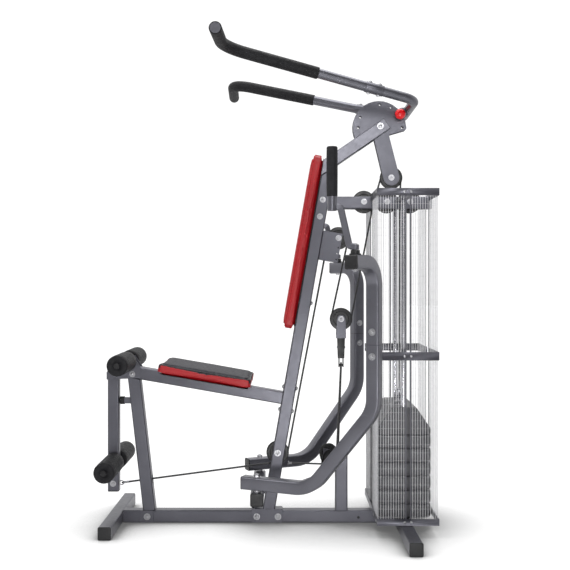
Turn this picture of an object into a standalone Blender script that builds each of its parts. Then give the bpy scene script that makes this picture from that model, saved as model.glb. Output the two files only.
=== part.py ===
"""Multi station home gym: frame, weight stack, leg developer, press arms and lat lever.

Metres, +Z up. The user faces -X, the weight stack stands at +X, and the machine is mirrored about
Y = 0, where -Y is the near side. The origin is on the floor under the middle of the whole machine.
"""

import math

import bmesh
import bpy
from mathutils import Matrix, Vector

# ---------------------------------------------------------------- driving dimensions
GAP = 0.0003
TUBE = 0.050
TUBE_WALL = 0.002
TUBE_CHAMFER = 0.004
HALF = TUBE / 2

FRONT_FOOT_X = -0.615
FRONT_FOOT_HALF = 0.282
REAR_FOOT_X = 0.5355
REAR_FOOT_HALF = 0.494

TILT = math.radians(9.9)
UPRIGHT_BASE = Vector((0.0018, 0.0, 0.050))
UPRIGHT_PLATE_TOP = 0.0556
CROSS_TUBE_X = -0.0405
CROSS_TUBE_Z = 0.1375
CROSS_TUBE_HALF = 0.221

POST_BOTTOM_X = -0.4842
POST_LEAN = math.atan(0.063 / 0.5495)

SEAT_BEAM_START = Vector((-0.5765, 0.0, 0.6171))
CHEEK_THICKNESS = 0.003
SEAT_START = 0.142
SEAT_END = 0.508
SEAT_TOP = 0.068
SEAT_HALF_WIDTH = 0.169

BACK_START = 0.746
BACK_END = 1.446
BACK_FRONT = 0.0743
BACK_HALF_WIDTH = 0.130

LEVER_PIVOT = Vector((-0.6255, 0.0, 0.596))
LEVER_X = -0.6305
LEVER_TUBE = 0.045
LEVER_TOP = 0.616
LEVER_BOTTOM = 0.129
THIGH_AXLE = (-0.574, 0.656)
ANKLE_AXLE = (-0.6245, 0.246)
AXLE_RADIUS = 0.010
AXLE_HALF = 0.256
ROLLER_RADIUS = 0.041
ROLLER_INNER = 0.030
ROLLER_OUTER = 0.250
LEG_EYE = Vector((-0.5985, 0.0, 0.158))

TOP_BEAM_Z = 1.301
TOP_BEAM_END = 0.6655
BOOM_END = Vector((0.4841, 0.0, 1.623))
BOOM_SLOPE = math.radians(34.4)

PULLEY_RADIUS = 0.046
PULLEY_GROOVE = 0.0365
PULLEY_HALF_WIDTH = 0.009
GROOVE_HALF_WIDTH = 0.0035
PULLEY_SIDES = 20
CABLE_RADIUS = 0.0030
CABLE_STEP = math.radians(20)
CABLE_RUN = (PULLEY_GROOVE + CABLE_RADIUS + GAP) / math.cos(CABLE_STEP / 2)

TOP_PULLEYS = ((0.390, 1.305), (0.484, 1.305), (0.5775, 1.305))
LEVER_PULLEY = (0.502, 1.4036)
BRACKET_PULLEY = (0.2865, 1.157)
FLOATING_PULLEY = (0.2975, 0.827)
FOOT_PULLEY = (0.0385, 0.283)
LOW_PULLEY = Vector((0.2516, 0.0725, 0.260))
LOW_POST_X = 0.298
LOW_POST_TOP = 0.300
ARM_EYE = Vector((0.0835, 0.224, 0.195))

STACK_X = 0.535
PLATE_HALF_X = 0.110
PLATE_HALF_Y = 0.163
PLATE_PITCH = 0.0547
PLATE_CORNER = 0.034
PLATE_GAP = 0.0005
PLATE_COUNT = 6
STACK_BOTTOM = 0.0525
HEAD_RIM = 0.016
HEAD_TOP = 0.487
HEAD_FLAT = 0.0475
STEM_RADIUS = 0.012
STEM_TOP = 0.547
PIN_PLATE = 3
ROD_Y = 0.138
ROD_RADIUS = 0.011

RAIL_FRONT = 0.418
RAIL_REAR = 0.6555
RAIL_HALF_DEPTH = 0.267
RAIL_BAR = 0.003
RAILS = {"bottom": (0.0505, 0.076), "middle": (0.679, 0.711), "top": (1.307, 1.335)}
SHEET_GAP = 0.0005
SHEET_THICKNESS = 0.001
SHEET_FLANGE = 0.007
SHEET_LIP = 0.003
SHEET_SLOT = (0.5301, 0.5445)
SHEET_MIDDLE_GAP = 0.037

LAT_PIVOT = Vector((0.4565, 0.0, 1.612))
LAT_CROSSBAR = (0.5735, 1.6830)
LAT_BAR_RADIUS = 0.019
LAT_BAR_SIDES = 12
LAT_LEG_Y = 0.190
LAT_LEG_SPLAY = 0.175
LAT_SLOPE = math.radians(13.35)
LAT_REAR_BEND = 0.055
LAT_TIP_BEND = 0.105
LAT_TAB_HALF = 0.0115
LAT_CORNER_X = -0.1640
LAT_TIP_Y = 0.597
LAT_GRIP_RADIUS = 0.023
LAT_GRIP_PLAY = 0.0009
LAT_GRIP_END_X = 0.195
SECTOR_RADIUS = 0.107
SECTOR_PIN_SIDE = 0.1045
SECTOR_SHIFT = (-0.0055, -0.0035)
SECTOR_ARM_HALF = 0.033
SECTOR_INNER = 0.0125
SECTOR_OUTER = 0.0165
LAT_PIN = (0.5340, 1.6568)
LAT_KNOB_RADIUS = 0.0212

ARM_PIVOT = Vector((-0.0405, 0.200, 0.198))
ARM_TOE = math.radians(25.0)
ARM_TOP_Z = 1.0457
ARM_STUB = 0.056
ARM_LOW_CORNER = 0.229
ARM_REACH = 0.480
ARM_SLOPE = 1.233
ARM_BEND = 0.130
ARM_SPLIT_Z = 0.720
ARM_TOP_BEND = 0.085
ARM_TOP_LENGTH = 0.185
ARM_TOP_WAY = Vector((-0.5145, 0.8575, 0.0)).normalized()
HANDLE_BOLT_INSET = 0.030
HANDLE_X = 0.2343
HANDLE_Y = 0.520
HANDLE_RADIUS = 0.0165
HANDLE_BOTTOM = 1.2275
GRIP_RADIUS = 0.0195
GRIP_BOTTOM = 1.278
GRIP_TOP = 1.454

UP = Vector((math.sin(TILT), 0.0, math.cos(TILT)))
BACK = Vector((math.cos(TILT), 0.0, -math.sin(TILT)))
SIDE = Vector((0.0, 1.0, 0.0))
BOOM_ALONG = Vector((math.cos(BOOM_SLOPE), 0.0, math.sin(BOOM_SLOPE)))
BOOM_UP = Vector((-math.sin(BOOM_SLOPE), 0.0, math.cos(BOOM_SLOPE)))


def clear_scene():
    for item in list(bpy.data.objects):
        bpy.data.objects.remove(item, do_unlink=True)


# ---------------------------------------------------------------- materials
def make_material(name, color, roughness, metallic):
    material = bpy.data.materials.new(name)
    material.use_nodes = True
    shader = material.node_tree.nodes["Principled BSDF"]
    shader.inputs["Base Color"].default_value = (*color, 1.0)
    shader.inputs["Roughness"].default_value = roughness
    shader.inputs["Metallic"].default_value = metallic
    return material


MATERIALS = {
    "frame": ((0.16, 0.16, 0.18), 0.35, 0.8),
    "chrome": ((0.62, 0.62, 0.65), 0.12, 1.0),
    "foam": ((0.022, 0.022, 0.026), 0.8, 0.0),
    "upholstery": ((0.42, 0.02, 0.03), 0.45, 0.0),
    "stack": ((0.09, 0.09, 0.10), 0.6, 0.0),
    "pulley": ((0.015, 0.015, 0.017), 0.4, 0.0),
    "cable": ((0.012, 0.012, 0.013), 0.35, 0.0),
    "mesh": ((0.70, 0.70, 0.72), 0.5, 0.5),
    "knob": ((0.65, 0.0, 0.01), 0.25, 0.0),
}


# ---------------------------------------------------------------- mesh helpers
def add_object(name, bm, finish, origin=(0.0, 0.0, 0.0), smooth=35.0):
    """Make an object from bm, given in world metres, with its origin at the place given."""
    place = Vector(origin)
    bmesh.ops.recalc_face_normals(bm, faces=bm.faces[:])
    bmesh.ops.translate(bm, verts=bm.verts[:], vec=-place)
    mesh = bpy.data.meshes.new(name)
    bm.to_mesh(mesh)
    bm.free()
    mesh.shade_smooth()
    mesh.set_sharp_from_angle(angle=math.radians(smooth))
    item = bpy.data.objects.new(name, mesh)
    item.location = place
    bpy.context.scene.collection.objects.link(item)
    if finish:
        color, roughness, metallic = MATERIALS[finish]
        mesh.materials.append(make_material(name, color, roughness, metallic))
    return item


def helper(name, bm):
    """A cutter or a welded-on shape: not a sub-part itself."""
    item = add_object(name, bm, None)
    item.hide_render = True
    item.display_type = "WIRE"
    return item


def boolean(item, other, operation):
    modifier = item.modifiers.new(operation.lower() + "_" + other.name, "BOOLEAN")
    modifier.operation = operation
    modifier.solver = "EXACT"
    modifier.object = other


def cut(item, name, bm):
    boolean(item, helper("cut_" + name, bm), "DIFFERENCE")


def weld(item, name, bm):
    boolean(item, helper("weld_" + name, bm), "UNION")


def box(low, high):
    bm = bmesh.new()
    size = [high[axis] - low[axis] for axis in range(3)]
    centre = [(high[axis] + low[axis]) / 2 for axis in range(3)]
    bmesh.ops.create_cube(bm, size=1.0, matrix=Matrix.Translation(centre) @ Matrix.Diagonal((*size, 1.0)))
    return bm


def section(width, height, chamfer):
    """Corner points of a chamfered rectangle, as (side, up) pairs in counterclockwise order."""
    points = []
    for index, (sx, sy) in enumerate(((1, 1), (-1, 1), (-1, -1), (1, -1))):
        first = (sx * width / 2, sy * (height / 2 - chamfer))
        second = (sx * (width / 2 - chamfer), sy * height / 2)
        points += [first, second] if index % 2 == 0 else [second, first]
    return points


def round_section(radius, count):
    step = 2 * math.pi / count
    return [(radius * math.cos(i * step), radius * math.sin(i * step)) for i in range(count)]


def path_frames(points, side):
    """A frame at each point of a path: (point, mitre normal, side, up), carried without twist."""
    frames = []
    last = len(points) - 1
    direction = (points[1] - points[0]).normalized()
    side = (side - side.dot(direction) * direction).normalized()
    for index, point in enumerate(points):
        into = (points[index] - points[index - 1]).normalized() if index > 0 else direction
        out = (points[index + 1] - points[index]).normalized() if index < last else into
        frames.append((point, into, out, side.copy()))
        side = into.rotation_difference(out) @ side if index < last else side
    return frames


def sweep(points, outline, side, inner=None, start_normal=None, end_normal=None):
    """Run an outline along a path. With an inner outline the result is an open ended tube."""
    points = [Vector(point) for point in points]
    bm = bmesh.new()
    last = len(points) - 1
    shells = [outline] if inner is None else [outline, inner]
    rings = [[] for _ in shells]
    for index, (point, into, out, across) in enumerate(path_frames(points, Vector(side))):
        along = into if index > 0 else out
        upward = along.cross(across)
        normal = (into + out).normalized()
        if index == 0 and start_normal:
            normal = Vector(start_normal)
        if index == last and end_normal:
            normal = Vector(end_normal)
        for shell, ring in zip(shells, rings):
            row = []
            for x, y in shell:
                offset = across * x + upward * y
                offset -= along * (offset.dot(normal) / along.dot(normal))
                row.append(bm.verts.new(point + offset))
            ring.append(row)
    count = len(outline)
    for ring in rings:
        for first, second in zip(ring[:-1], ring[1:]):
            for i in range(count):
                j = (i + 1) % count
                bm.faces.new((first[i], first[j], second[j], second[i]))
    for end in (0, last):
        if inner is None:
            bm.faces.new(rings[0][end])
        else:
            for i in range(count):
                j = (i + 1) % count
                bm.faces.new((rings[0][end][i], rings[0][end][j], rings[1][end][j], rings[1][end][i]))
    return bm


def square_tube(points, side=SIDE, width=TUBE, start_normal=None, end_normal=None):
    bore = width - 2 * TUBE_WALL
    outline = section(width, width, TUBE_CHAMFER)
    inner = section(bore, bore, TUBE_CHAMFER - TUBE_WALL)
    return sweep(points, outline, side, inner, start_normal, end_normal)


def lathe(profile, centre, axis, count=24, closed=False):
    """Turn (radius, height) points about an axis. Points on the axis close the shape."""
    axis = Vector(axis).normalized()
    across = axis.orthogonal().normalized()
    if abs(axis.y) > 0.9:
        across = Vector((1.0, 0.0, 0.0))
    other = axis.cross(across)
    centre = Vector(centre)
    bm = bmesh.new()
    rows = []
    for radius, height in profile:
        if radius < 1e-6:
            rows.append([bm.verts.new(centre + axis * height)])
            continue
        row = []
        for i in range(count):
            angle = 2 * math.pi * i / count
            offset = across * (radius * math.cos(angle)) + other * (radius * math.sin(angle))
            row.append(bm.verts.new(centre + offset + axis * height))
        rows.append(row)
    pairs = list(zip(rows[:-1], rows[1:]))
    if closed:
        pairs.append((rows[-1], rows[0]))
    for first, second in pairs:
        for i in range(count):
            j = (i + 1) % count
            corners = [first[i % len(first)], first[j % len(first)]]
            corners += [second[j % len(second)], second[i % len(second)]]
            unique = list(dict.fromkeys(corners))
            if len(unique) > 2:
                bm.faces.new(unique)
    return bm


def slab(outline, holes, low, high, axis="Y"):
    """A flat plate: an outline with holes, drawn on the plane across the axis, between two levels."""
    bm = bmesh.new()

    def place(u, v):
        if axis == "Y":
            return (u, low, v)
        if axis == "Z":
            return (u, v, low)
        return (low, u, v)

    for loop in [outline, *holes]:
        verts = [bm.verts.new(place(u, v)) for u, v in loop]
        for i, vert in enumerate(verts):
            bm.edges.new((vert, verts[(i + 1) % len(verts)]))
    bmesh.ops.triangle_fill(bm, use_beauty=True, use_dissolve=False, edges=bm.edges[:])
    grown = bmesh.ops.extrude_face_region(bm, geom=bm.faces[:])
    moved = [part for part in grown["geom"] if isinstance(part, bmesh.types.BMVert)]
    step = {"X": (high - low, 0, 0), "Y": (0, high - low, 0), "Z": (0, 0, high - low)}[axis]
    bmesh.ops.translate(bm, verts=moved, vec=step)
    return bm


def circle(centre, radius, count=16, start=0.0, stop=2 * math.pi):
    whole = abs(stop - start) > 2 * math.pi - 1e-6
    steps = count if whole else count - 1
    angles = [start + (stop - start) * i / steps for i in range(count)]
    return [(centre[0] + radius * math.cos(a), centre[1] + radius * math.sin(a)) for a in angles]


def rounded(points, radius, steps=5):
    """Replace each inner corner of a 3-D path by an arc of the radius given."""
    points = [Vector(point) for point in points]
    result = [points[0]]
    for before, corner, after in zip(points[:-2], points[1:-1], points[2:]):
        into = (corner - before).normalized()
        out = (after - corner).normalized()
        turn = into.angle(out)
        reach = radius * math.tan(turn / 2)
        centre = corner + (out - into).normalized() * (radius / math.cos(turn / 2))
        start = corner - into * reach
        axis = into.cross(out).normalized()
        for i in range(steps + 1):
            spin = Matrix.Rotation(turn * i / steps, 3, axis)
            result.append(centre + spin @ (start - centre))
    result.append(points[-1])
    return result


def mirrored(bm):
    """The same shape on the other side of the machine."""
    copy = bm.copy()
    bmesh.ops.scale(copy, verts=copy.verts[:], vec=(1.0, -1.0, 1.0))
    return copy


def along_upright(distance, behind, y=0.0):
    return UPRIGHT_BASE + UP * distance + BACK * behind + Vector((0.0, y, 0.0))


def along_seat(distance, above, y=0.0):
    return SEAT_BEAM_START + BACK * distance + UP * above + Vector((0.0, y, 0.0))


# ---------------------------------------------------------------- floor frame
def build_feet_and_base():
    for name, x, half in (
        ("front_foot", FRONT_FOOT_X, FRONT_FOOT_HALF),
        ("rear_foot", REAR_FOOT_X, REAR_FOOT_HALF),
    ):
        bm = square_tube([(x, -half, HALF), (x, half, HALF)], side=(1.0, 0.0, 0.0))
        add_object(name, bm, "frame")
    start = FRONT_FOOT_X + HALF + GAP
    end = REAR_FOOT_X - HALF - GAP
    base = add_object("base_beam", square_tube([(start, 0, HALF), (end, 0, HALF)]), "frame")
    post = square_tube([(LOW_POST_X, 0, TUBE - TUBE_WALL / 2), (LOW_POST_X, 0, LOW_POST_TOP)])
    weld(base, "low_post", post)
    for name, mirror in (("ear_near", True), ("ear_far", False)):
        ear = low_pulley_ear()
        weld(base, name, mirrored(ear) if mirror else ear)


def low_pulley_directions():
    """Unit vectors of the far low pulley: away along the cable, and along its axle."""
    away = Vector((ARM_EYE.x - LOW_PULLEY.x, ARM_EYE.y - LOW_PULLEY.y, 0.0)).normalized()
    return away, Vector((away.y, -away.x, 0.0))


def low_pulley_ear():
    """The plate that carries the far low pulley, welded to the corner of the low post."""
    away, axle = low_pulley_directions()
    start = LOW_PULLEY - away * 0.064 - axle * 0.0138
    end = LOW_PULLEY + away * 0.018 - axle * 0.0138
    return sweep([start, end], section(0.004, 0.050, 0.0005), axle)


def build_front():
    lean = Vector((-math.sin(POST_LEAN), 0.0, math.cos(POST_LEAN)))
    foot = Vector((POST_BOTTOM_X, 0.0, TUBE + GAP))
    # The top is cut along the underside of the seat beam.
    underside = SEAT_BEAM_START - UP * (HALF + GAP)
    length = (underside - foot).dot(UP) / lean.dot(UP)
    post = add_object(
        "front_post",
        square_tube([foot, foot + lean * length], start_normal=(0, 0, 1), end_normal=UP),
        "frame",
    )
    slot_z = 0.172
    cut(post, "leg_cable_slot", box((-0.56, -0.008, slot_z - 0.018), (-0.44, 0.008, slot_z + 0.018)))

    reach = (UPRIGHT_BASE - SEAT_BEAM_START).dot(BACK) - HALF - GAP
    beam = add_object("seat_beam", square_tube([SEAT_BEAM_START, along_seat(reach, 0.0)]), "frame")
    cheek = [
        (-0.656, 0.582),
        (-0.656, 0.612),
        (-0.612, 0.674),
        (-0.548, 0.676),
        (-0.515, 0.628),
        (-0.515, 0.588),
    ]
    hole = circle(THIGH_AXLE, AXLE_RADIUS + 0.0004, 16)
    inner = HALF + GAP
    plate = slab(cheek, [hole], inner, inner + CHEEK_THICKNESS)
    weld(beam, "cheek_near", mirrored(plate))
    weld(beam, "cheek_far", plate)
    # A short seam on each side joins the cheek to the beam and clears the post.
    seam_ends = [along_seat(0.006, 0.0, HALF), along_seat(0.052, 0.0, HALF)]
    seam = sweep(seam_ends, section(0.0030, 0.036, 0.0002), SIDE)
    weld(beam, "cheek_seam_near", mirrored(seam))
    weld(beam, "cheek_seam_far", seam)


def build_upright():
    bottom = UPRIGHT_BASE + UP * ((UPRIGHT_PLATE_TOP - 0.0005 - UPRIGHT_BASE.z) / UP.z)
    # The top is cut along the underside of the lat boom.
    underside = BOOM_END - BOOM_UP * (HALF + GAP)
    reach = (underside - UPRIGHT_BASE).dot(BOOM_UP) / UP.dot(BOOM_UP)
    upright = add_object(
        "main_upright",
        square_tube([bottom, along_upright(reach, 0.0)], start_normal=(0, 0, 1), end_normal=BOOM_UP),
        "frame",
    )
    plate_low = (-0.056, -HALF, TUBE + GAP)
    weld(upright, "foot_plate", box(plate_low, (0.058, HALF, UPRIGHT_PLATE_TOP)))
    spacer_low = (CROSS_TUBE_X + HALF - 0.001, -0.020, CROSS_TUBE_Z - 0.020)
    weld(upright, "cross_spacer", box(spacer_low, (-0.0030, 0.020, CROSS_TUBE_Z + 0.020)))
    ends = [(CROSS_TUBE_X, y, CROSS_TUBE_Z) for y in (-CROSS_TUBE_HALF, CROSS_TUBE_HALF)]
    weld(upright, "cross_tube", square_tube(ends, side=(1.0, 0.0, 0.0)))
    slot = sweep(
        [along_upright(0.182, 0.0), along_upright(0.290, 0.0)],
        section(0.026, 0.080, 0.001),
        SIDE,
    )
    cut(upright, "foot_pulley_slot", slot)


def build_boom():
    face = along_upright(0.0, -HALF)
    length = (BOOM_END - face).dot(BACK) / BOOM_ALONG.dot(BACK)
    start = BOOM_END - BOOM_ALONG * length
    boom = add_object("lat_boom", square_tube([start, BOOM_END], start_normal=BACK), "frame")
    slot = [BOOM_END - BOOM_ALONG * 0.156, BOOM_END + BOOM_ALONG * 0.02]
    cut(boom, "lever_slot", sweep(slot, section(0.037, 0.08, 0.001), SIDE))


def build_top_beam():
    face = along_upright(0.0, HALF + GAP)
    start_x = face.x + (TOP_BEAM_Z - face.z) * math.tan(TILT)
    ends = [(start_x, 0, TOP_BEAM_Z), (TOP_BEAM_END, 0, TOP_BEAM_Z)]
    beam = add_object("top_beam", square_tube(ends, start_normal=BACK), "frame")
    low = (TOP_PULLEYS[0][0] - 0.053, -0.0125, TOP_BEAM_Z - 0.04)
    cut(beam, "pulley_slot", box(low, (TOP_PULLEYS[2][0] + 0.053, 0.0125, TOP_BEAM_Z + 0.04)))


def build_pulley_bracket():
    """A channel open to the rear, bolted to the back of the upright."""
    outline = [
        (-0.0245, 0.0),
        (0.0245, 0.0),
        (0.0245, 0.078),
        (0.0215, 0.078),
        (0.0215, 0.003),
        (-0.0215, 0.003),
        (-0.0215, 0.078),
        (-0.0245, 0.078),
    ]
    start = along_upright(1.040, HALF + GAP)
    bm = sweep([start, along_upright(1.159, HALF + GAP)], [(y, -b) for y, b in outline], SIDE)
    bracket = add_object("pulley_bracket", bm, "frame")
    drill = [(0.0, -0.03), (0.0035, -0.03), (0.0035, 0.03), (0.0, 0.03)]
    for number, distance in enumerate((1.052, 1.076, 1.100)):
        cut(bracket, f"bracket_hole_{number}", lathe(drill, along_upright(distance, 0.0955), (0, 1, 0), 8))


# ---------------------------------------------------------------- weight stack housing
def ring_slab(low_z, high_z):
    outer = [
        (RAIL_FRONT, -RAIL_HALF_DEPTH),
        (RAIL_REAR, -RAIL_HALF_DEPTH),
        (RAIL_REAR, RAIL_HALF_DEPTH),
        (RAIL_FRONT, RAIL_HALF_DEPTH),
    ]
    centre_x = (RAIL_FRONT + RAIL_REAR) / 2
    scale_x = 1 - 2 * RAIL_BAR / (RAIL_REAR - RAIL_FRONT)
    scale_y = 1 - RAIL_BAR / RAIL_HALF_DEPTH
    inner = [(centre_x + (x - centre_x) * scale_x, y * scale_y) for x, y in outer]
    return slab(outer, [inner], low_z, high_z, axis="Z")


def build_rails():
    bottom = RAILS["bottom"]
    add_object("bottom_rail_frame", ring_slab(*bottom), "frame")
    middle = RAILS["middle"]
    middle_ring = add_object("middle_rail_frame", ring_slab(*middle), "frame")
    gap_low = (RAIL_REAR - 0.02, -SHEET_MIDDLE_GAP, middle[0] - 0.01)
    cut(middle_ring, "pin_gap", box(gap_low, (RAIL_REAR + 0.02, SHEET_MIDDLE_GAP, middle[1] + 0.01)))
    top = RAILS["top"]
    top_ring = add_object("top_rail_frame", ring_slab(*top), "frame")
    notch_half = HALF + GAP
    notch_low = (RAIL_FRONT - 0.02, -notch_half, top[0] - 0.01)
    cut(top_ring, "beam_notch", box(notch_low, (RAIL_REAR + 0.02, notch_half, TOP_BEAM_Z + HALF + GAP)))
    # The front pulley turns through the front bar, over the beam's slot.
    pulley_low = (RAIL_FRONT - 0.02, -0.0128, top[0] - 0.01)
    cut(top_ring, "front_pulley_gap", box(pulley_low, (RAIL_FRONT + 0.02, 0.0128, top[1] + 0.01)))
    tab_low = (STACK_X - 0.020, notch_half, top[0] + 0.0002)
    tab_high = (STACK_X + 0.020, RAIL_HALF_DEPTH - 0.001, top[0] + 0.0045)
    tab = box(tab_low, tab_high)
    weld(top_ring, "rod_tab_near", mirrored(tab))
    weld(top_ring, "rod_tab_far", tab)


def build_guide_rods():
    floor = TUBE + GAP
    top = RAILS["top"][0] - GAP
    profile = [(0.0, floor), (ROD_RADIUS, floor), (ROD_RADIUS, top), (0.0, top)]
    for name, y in (("guide_rod_near", -ROD_Y), ("guide_rod_far", ROD_Y)):
        add_object(name, lathe(profile, (STACK_X, y, 0.0), (0, 0, 1), 12), "chrome")


def corner_sheet(front):
    """One corner sheet of the housing on the far side, with a turned flange at both free edges."""
    inset = RAIL_BAR + SHEET_GAP
    edge_y = RAIL_HALF_DEPTH - inset
    if front:
        face_x = RAIL_FRONT + inset
        side_end = SHEET_SLOT[0]
        inward = 1.0
    else:
        face_x = RAIL_REAR - inset
        side_end = SHEET_SLOT[1]
        inward = -1.0
    thick = SHEET_THICKNESS
    t = thick * inward
    lip = SHEET_LIP * inward
    return [
        (face_x + lip, SHEET_MIDDLE_GAP),
        (face_x, SHEET_MIDDLE_GAP),
        (face_x, edge_y),
        (side_end, edge_y),
        (side_end, edge_y - SHEET_FLANGE),
        (side_end - t, edge_y - SHEET_FLANGE),
        (side_end - t, edge_y - thick),
        (face_x + t, edge_y - thick),
        (face_x + t, SHEET_MIDDLE_GAP + thick),
        (face_x + lip, SHEET_MIDDLE_GAP + thick),
    ]


def build_shroud():
    low = RAILS["bottom"][0] + 0.002
    high = RAILS["top"][0] - 0.0005
    for end, front in (("front", True), ("rear", False)):
        outline = corner_sheet(front)
        far = slab(outline, [], low, high, axis="Z")
        add_object(f"mesh_sheet_{end}_near", mirrored(far), "mesh")
        add_object(f"mesh_sheet_{end}_far", far, "mesh")


# ---------------------------------------------------------------- weight stack
def plate_outline():
    """A rounded rectangle for one weight plate."""
    radius = PLATE_CORNER
    points = []
    for sx, sy, start in ((1, 1, 0.0), (-1, 1, 0.5), (-1, -1, 1.0), (1, -1, 1.5)):
        centre = (STACK_X + sx * (PLATE_HALF_X - radius), sy * (PLATE_HALF_Y - radius))
        points += circle(centre, radius, 4, start * math.pi, (start + 0.5) * math.pi)
    return points


def plate_holes():
    stem = circle((STACK_X, 0.0), STEM_RADIUS + 0.001, 12)
    rods = [circle((STACK_X, y), ROD_RADIUS + 0.0015, 12) for y in (-ROD_Y, ROD_Y)]
    return [stem, *rods]


def build_head_plate():
    """The top plate: an upright rim, then two slopes up to a flat roof that runs across in Y."""
    low = STACK_BOTTOM + PLATE_COUNT * PLATE_PITCH
    shoulder = low + HEAD_RIM
    wall = 0.02
    block = slab(plate_outline(), plate_holes(), low, HEAD_TOP, axis="Z")
    head = add_object("head_plate", block, "stack")
    for name, sign in (("front", -1), ("rear", 1)):
        slope = [
            (STACK_X + sign * HEAD_FLAT, HEAD_TOP + 0.001),
            (STACK_X + sign * HEAD_FLAT, HEAD_TOP),
            (STACK_X + sign * PLATE_HALF_X, shoulder),
            (STACK_X + sign * (PLATE_HALF_X + wall), shoulder),
            (STACK_X + sign * (PLATE_HALF_X + wall), HEAD_TOP + 0.001),
        ]
        cut(head, f"head_slope_{name}", slab(slope, [], -PLATE_HALF_Y - wall, PLATE_HALF_Y + wall))


def build_stack():
    for number in range(1, PLATE_COUNT + 1):
        # Plate 1 lies right under the head plate and plate 6 is the lowest.
        low = STACK_BOTTOM + (PLATE_COUNT - number) * PLATE_PITCH
        high = low + PLATE_PITCH - PLATE_GAP
        body = slab(plate_outline(), plate_holes(), low, high, axis="Z")
        plate = add_object(f"weight_plate_{number}", body, "stack")
        centre = (STACK_X + PLATE_HALF_X / 2, 0.0, (low + high) / 2)
        channel = lathe([(0.0, -0.08), (0.0055, -0.08), (0.0055, 0.08), (0.0, 0.08)], centre, (1, 0, 0), 8)
        cut(plate, f"pin_channel_{number}", channel)

    build_head_plate()
    stem_profile = [
        (0.0, STACK_BOTTOM + 0.004),
        (STEM_RADIUS, STACK_BOTTOM + 0.004),
        (STEM_RADIUS, STEM_TOP - 0.004),
        (STEM_RADIUS - 0.004, STEM_TOP),
        (0.0, STEM_TOP),
    ]
    stem = add_object("lifting_stem", lathe(stem_profile, (STACK_X, 0, 0), (0, 0, 1), 12), "chrome")
    for number in range(1, PLATE_COUNT + 1):
        level = STACK_BOTTOM + (PLATE_COUNT - number + 0.5) * PLATE_PITCH
        hole_profile = [(0.0, -0.03), (0.0052, -0.03), (0.0052, 0.03), (0.0, 0.03)]
        hole = lathe(hole_profile, (STACK_X, 0, level), (1, 0, 0), 6)
        cut(stem, f"pin_hole_{number}", hole)

    level = STACK_BOTTOM + (PLATE_COUNT - PIN_PLATE + 0.5) * PLATE_PITCH
    pin_profile = [
        (0.0, -0.022),
        (0.003, -0.022),
        (0.0045, -0.018),
        (0.0045, 0.1125),
        (0.012, 0.1125),
        (0.0135, 0.1150),
        (0.0135, 0.1265),
        (0.011, 0.1290),
        (0.0, 0.1290),
    ]
    centre = (STACK_X, 0.0, level)
    add_object("selector_pin", lathe(pin_profile, centre, (1, 0, 0), 16), "chrome", origin=centre)


# ---------------------------------------------------------------- upholstery
def pad(centre_line, frame_side, half_width, thickness_low, thickness_high, radius):
    """A plain rounded block for a cushion, drawn in a tilted frame."""
    start, end, along, upward = centre_line
    outline = []
    for su, sv, turn in ((1, 1, 0.0), (-1, 1, 0.5), (-1, -1, 1.0), (1, -1, 1.5)):
        mid = ((start + end) / 2, 0.0)
        half = (end - start) / 2
        corner = (mid[0] + su * (half - radius), sv * (half_width - radius))
        outline += circle(corner, radius, 4, turn * math.pi, (turn + 0.5) * math.pi)
    bm = bmesh.new()
    rows = []
    for level in (thickness_low, thickness_high):
        rows.append([bm.verts.new(frame_side + along * u + SIDE * v + upward * level) for u, v in outline])
    count = len(outline)
    for i in range(count):
        j = (i + 1) % count
        bm.faces.new((rows[0][i], rows[0][j], rows[1][j], rows[1][i]))
    bm.faces.new(rows[0])
    bm.faces.new(rows[1])
    return bm


def build_pads():
    seat = pad((SEAT_START, SEAT_END, BACK, UP), SEAT_BEAM_START, SEAT_HALF_WIDTH, HALF + GAP, SEAT_TOP, 0.02)
    add_object("seat_pad", seat, "upholstery", smooth=50.0)
    back = pad((BACK_START, BACK_END, UP, -BACK), UPRIGHT_BASE, BACK_HALF_WIDTH, HALF + GAP, BACK_FRONT, 0.02)
    add_object("backrest_pad", back, "upholstery", smooth=50.0)


# ---------------------------------------------------------------- leg developer
def round_tube(points, radius, wall, side, count):
    return sweep(points, round_section(radius, count), side, round_section(radius - wall, count))


def build_leg_developer():
    lever = add_object(
        "leg_lever",
        square_tube([(LEVER_X, 0, LEVER_BOTTOM), (LEVER_X, 0, LEVER_TOP)], width=LEVER_TUBE),
        "frame",
        origin=LEVER_PIVOT,
    )
    hole = [(0.0, -0.05), (AXLE_RADIUS + 0.0004, -0.05), (AXLE_RADIUS + 0.0004, 0.05), (0.0, 0.05)]
    cut(lever, "ankle_axle_hole", lathe(hole, (ANKLE_AXLE[0], 0, ANKLE_AXLE[1]), (0, 1, 0), 16))

    for name, (x, z) in (("thigh", THIGH_AXLE), ("ankle", ANKLE_AXLE)):
        ends = [(x, -AXLE_HALF, z), (x, AXLE_HALF, z)]
        origin = LEVER_PIVOT if name == "ankle" else (x, 0, z)
        axle = round_tube(ends, AXLE_RADIUS, 0.0015, (1, 0, 0), 16)
        add_object(f"{name}_axle", axle, "chrome", origin=origin)
        bore = AXLE_RADIUS + 0.0008
        edge = 0.006
        profile = [
            (bore, ROLLER_INNER),
            (ROLLER_RADIUS - edge, ROLLER_INNER),
            (ROLLER_RADIUS, ROLLER_INNER + edge),
            (ROLLER_RADIUS, ROLLER_OUTER - edge),
            (ROLLER_RADIUS - edge, ROLLER_OUTER),
            (bore, ROLLER_OUTER),
        ]
        for side, sign in (("near", -1.0), ("far", 1.0)):
            bm = lathe(profile, (x, 0, z), (0, sign, 0), 24, closed=True)
            add_object(f"{name}_roller_{side}", bm, "foam", origin=(x, sign * ROLLER_INNER, z))


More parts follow.
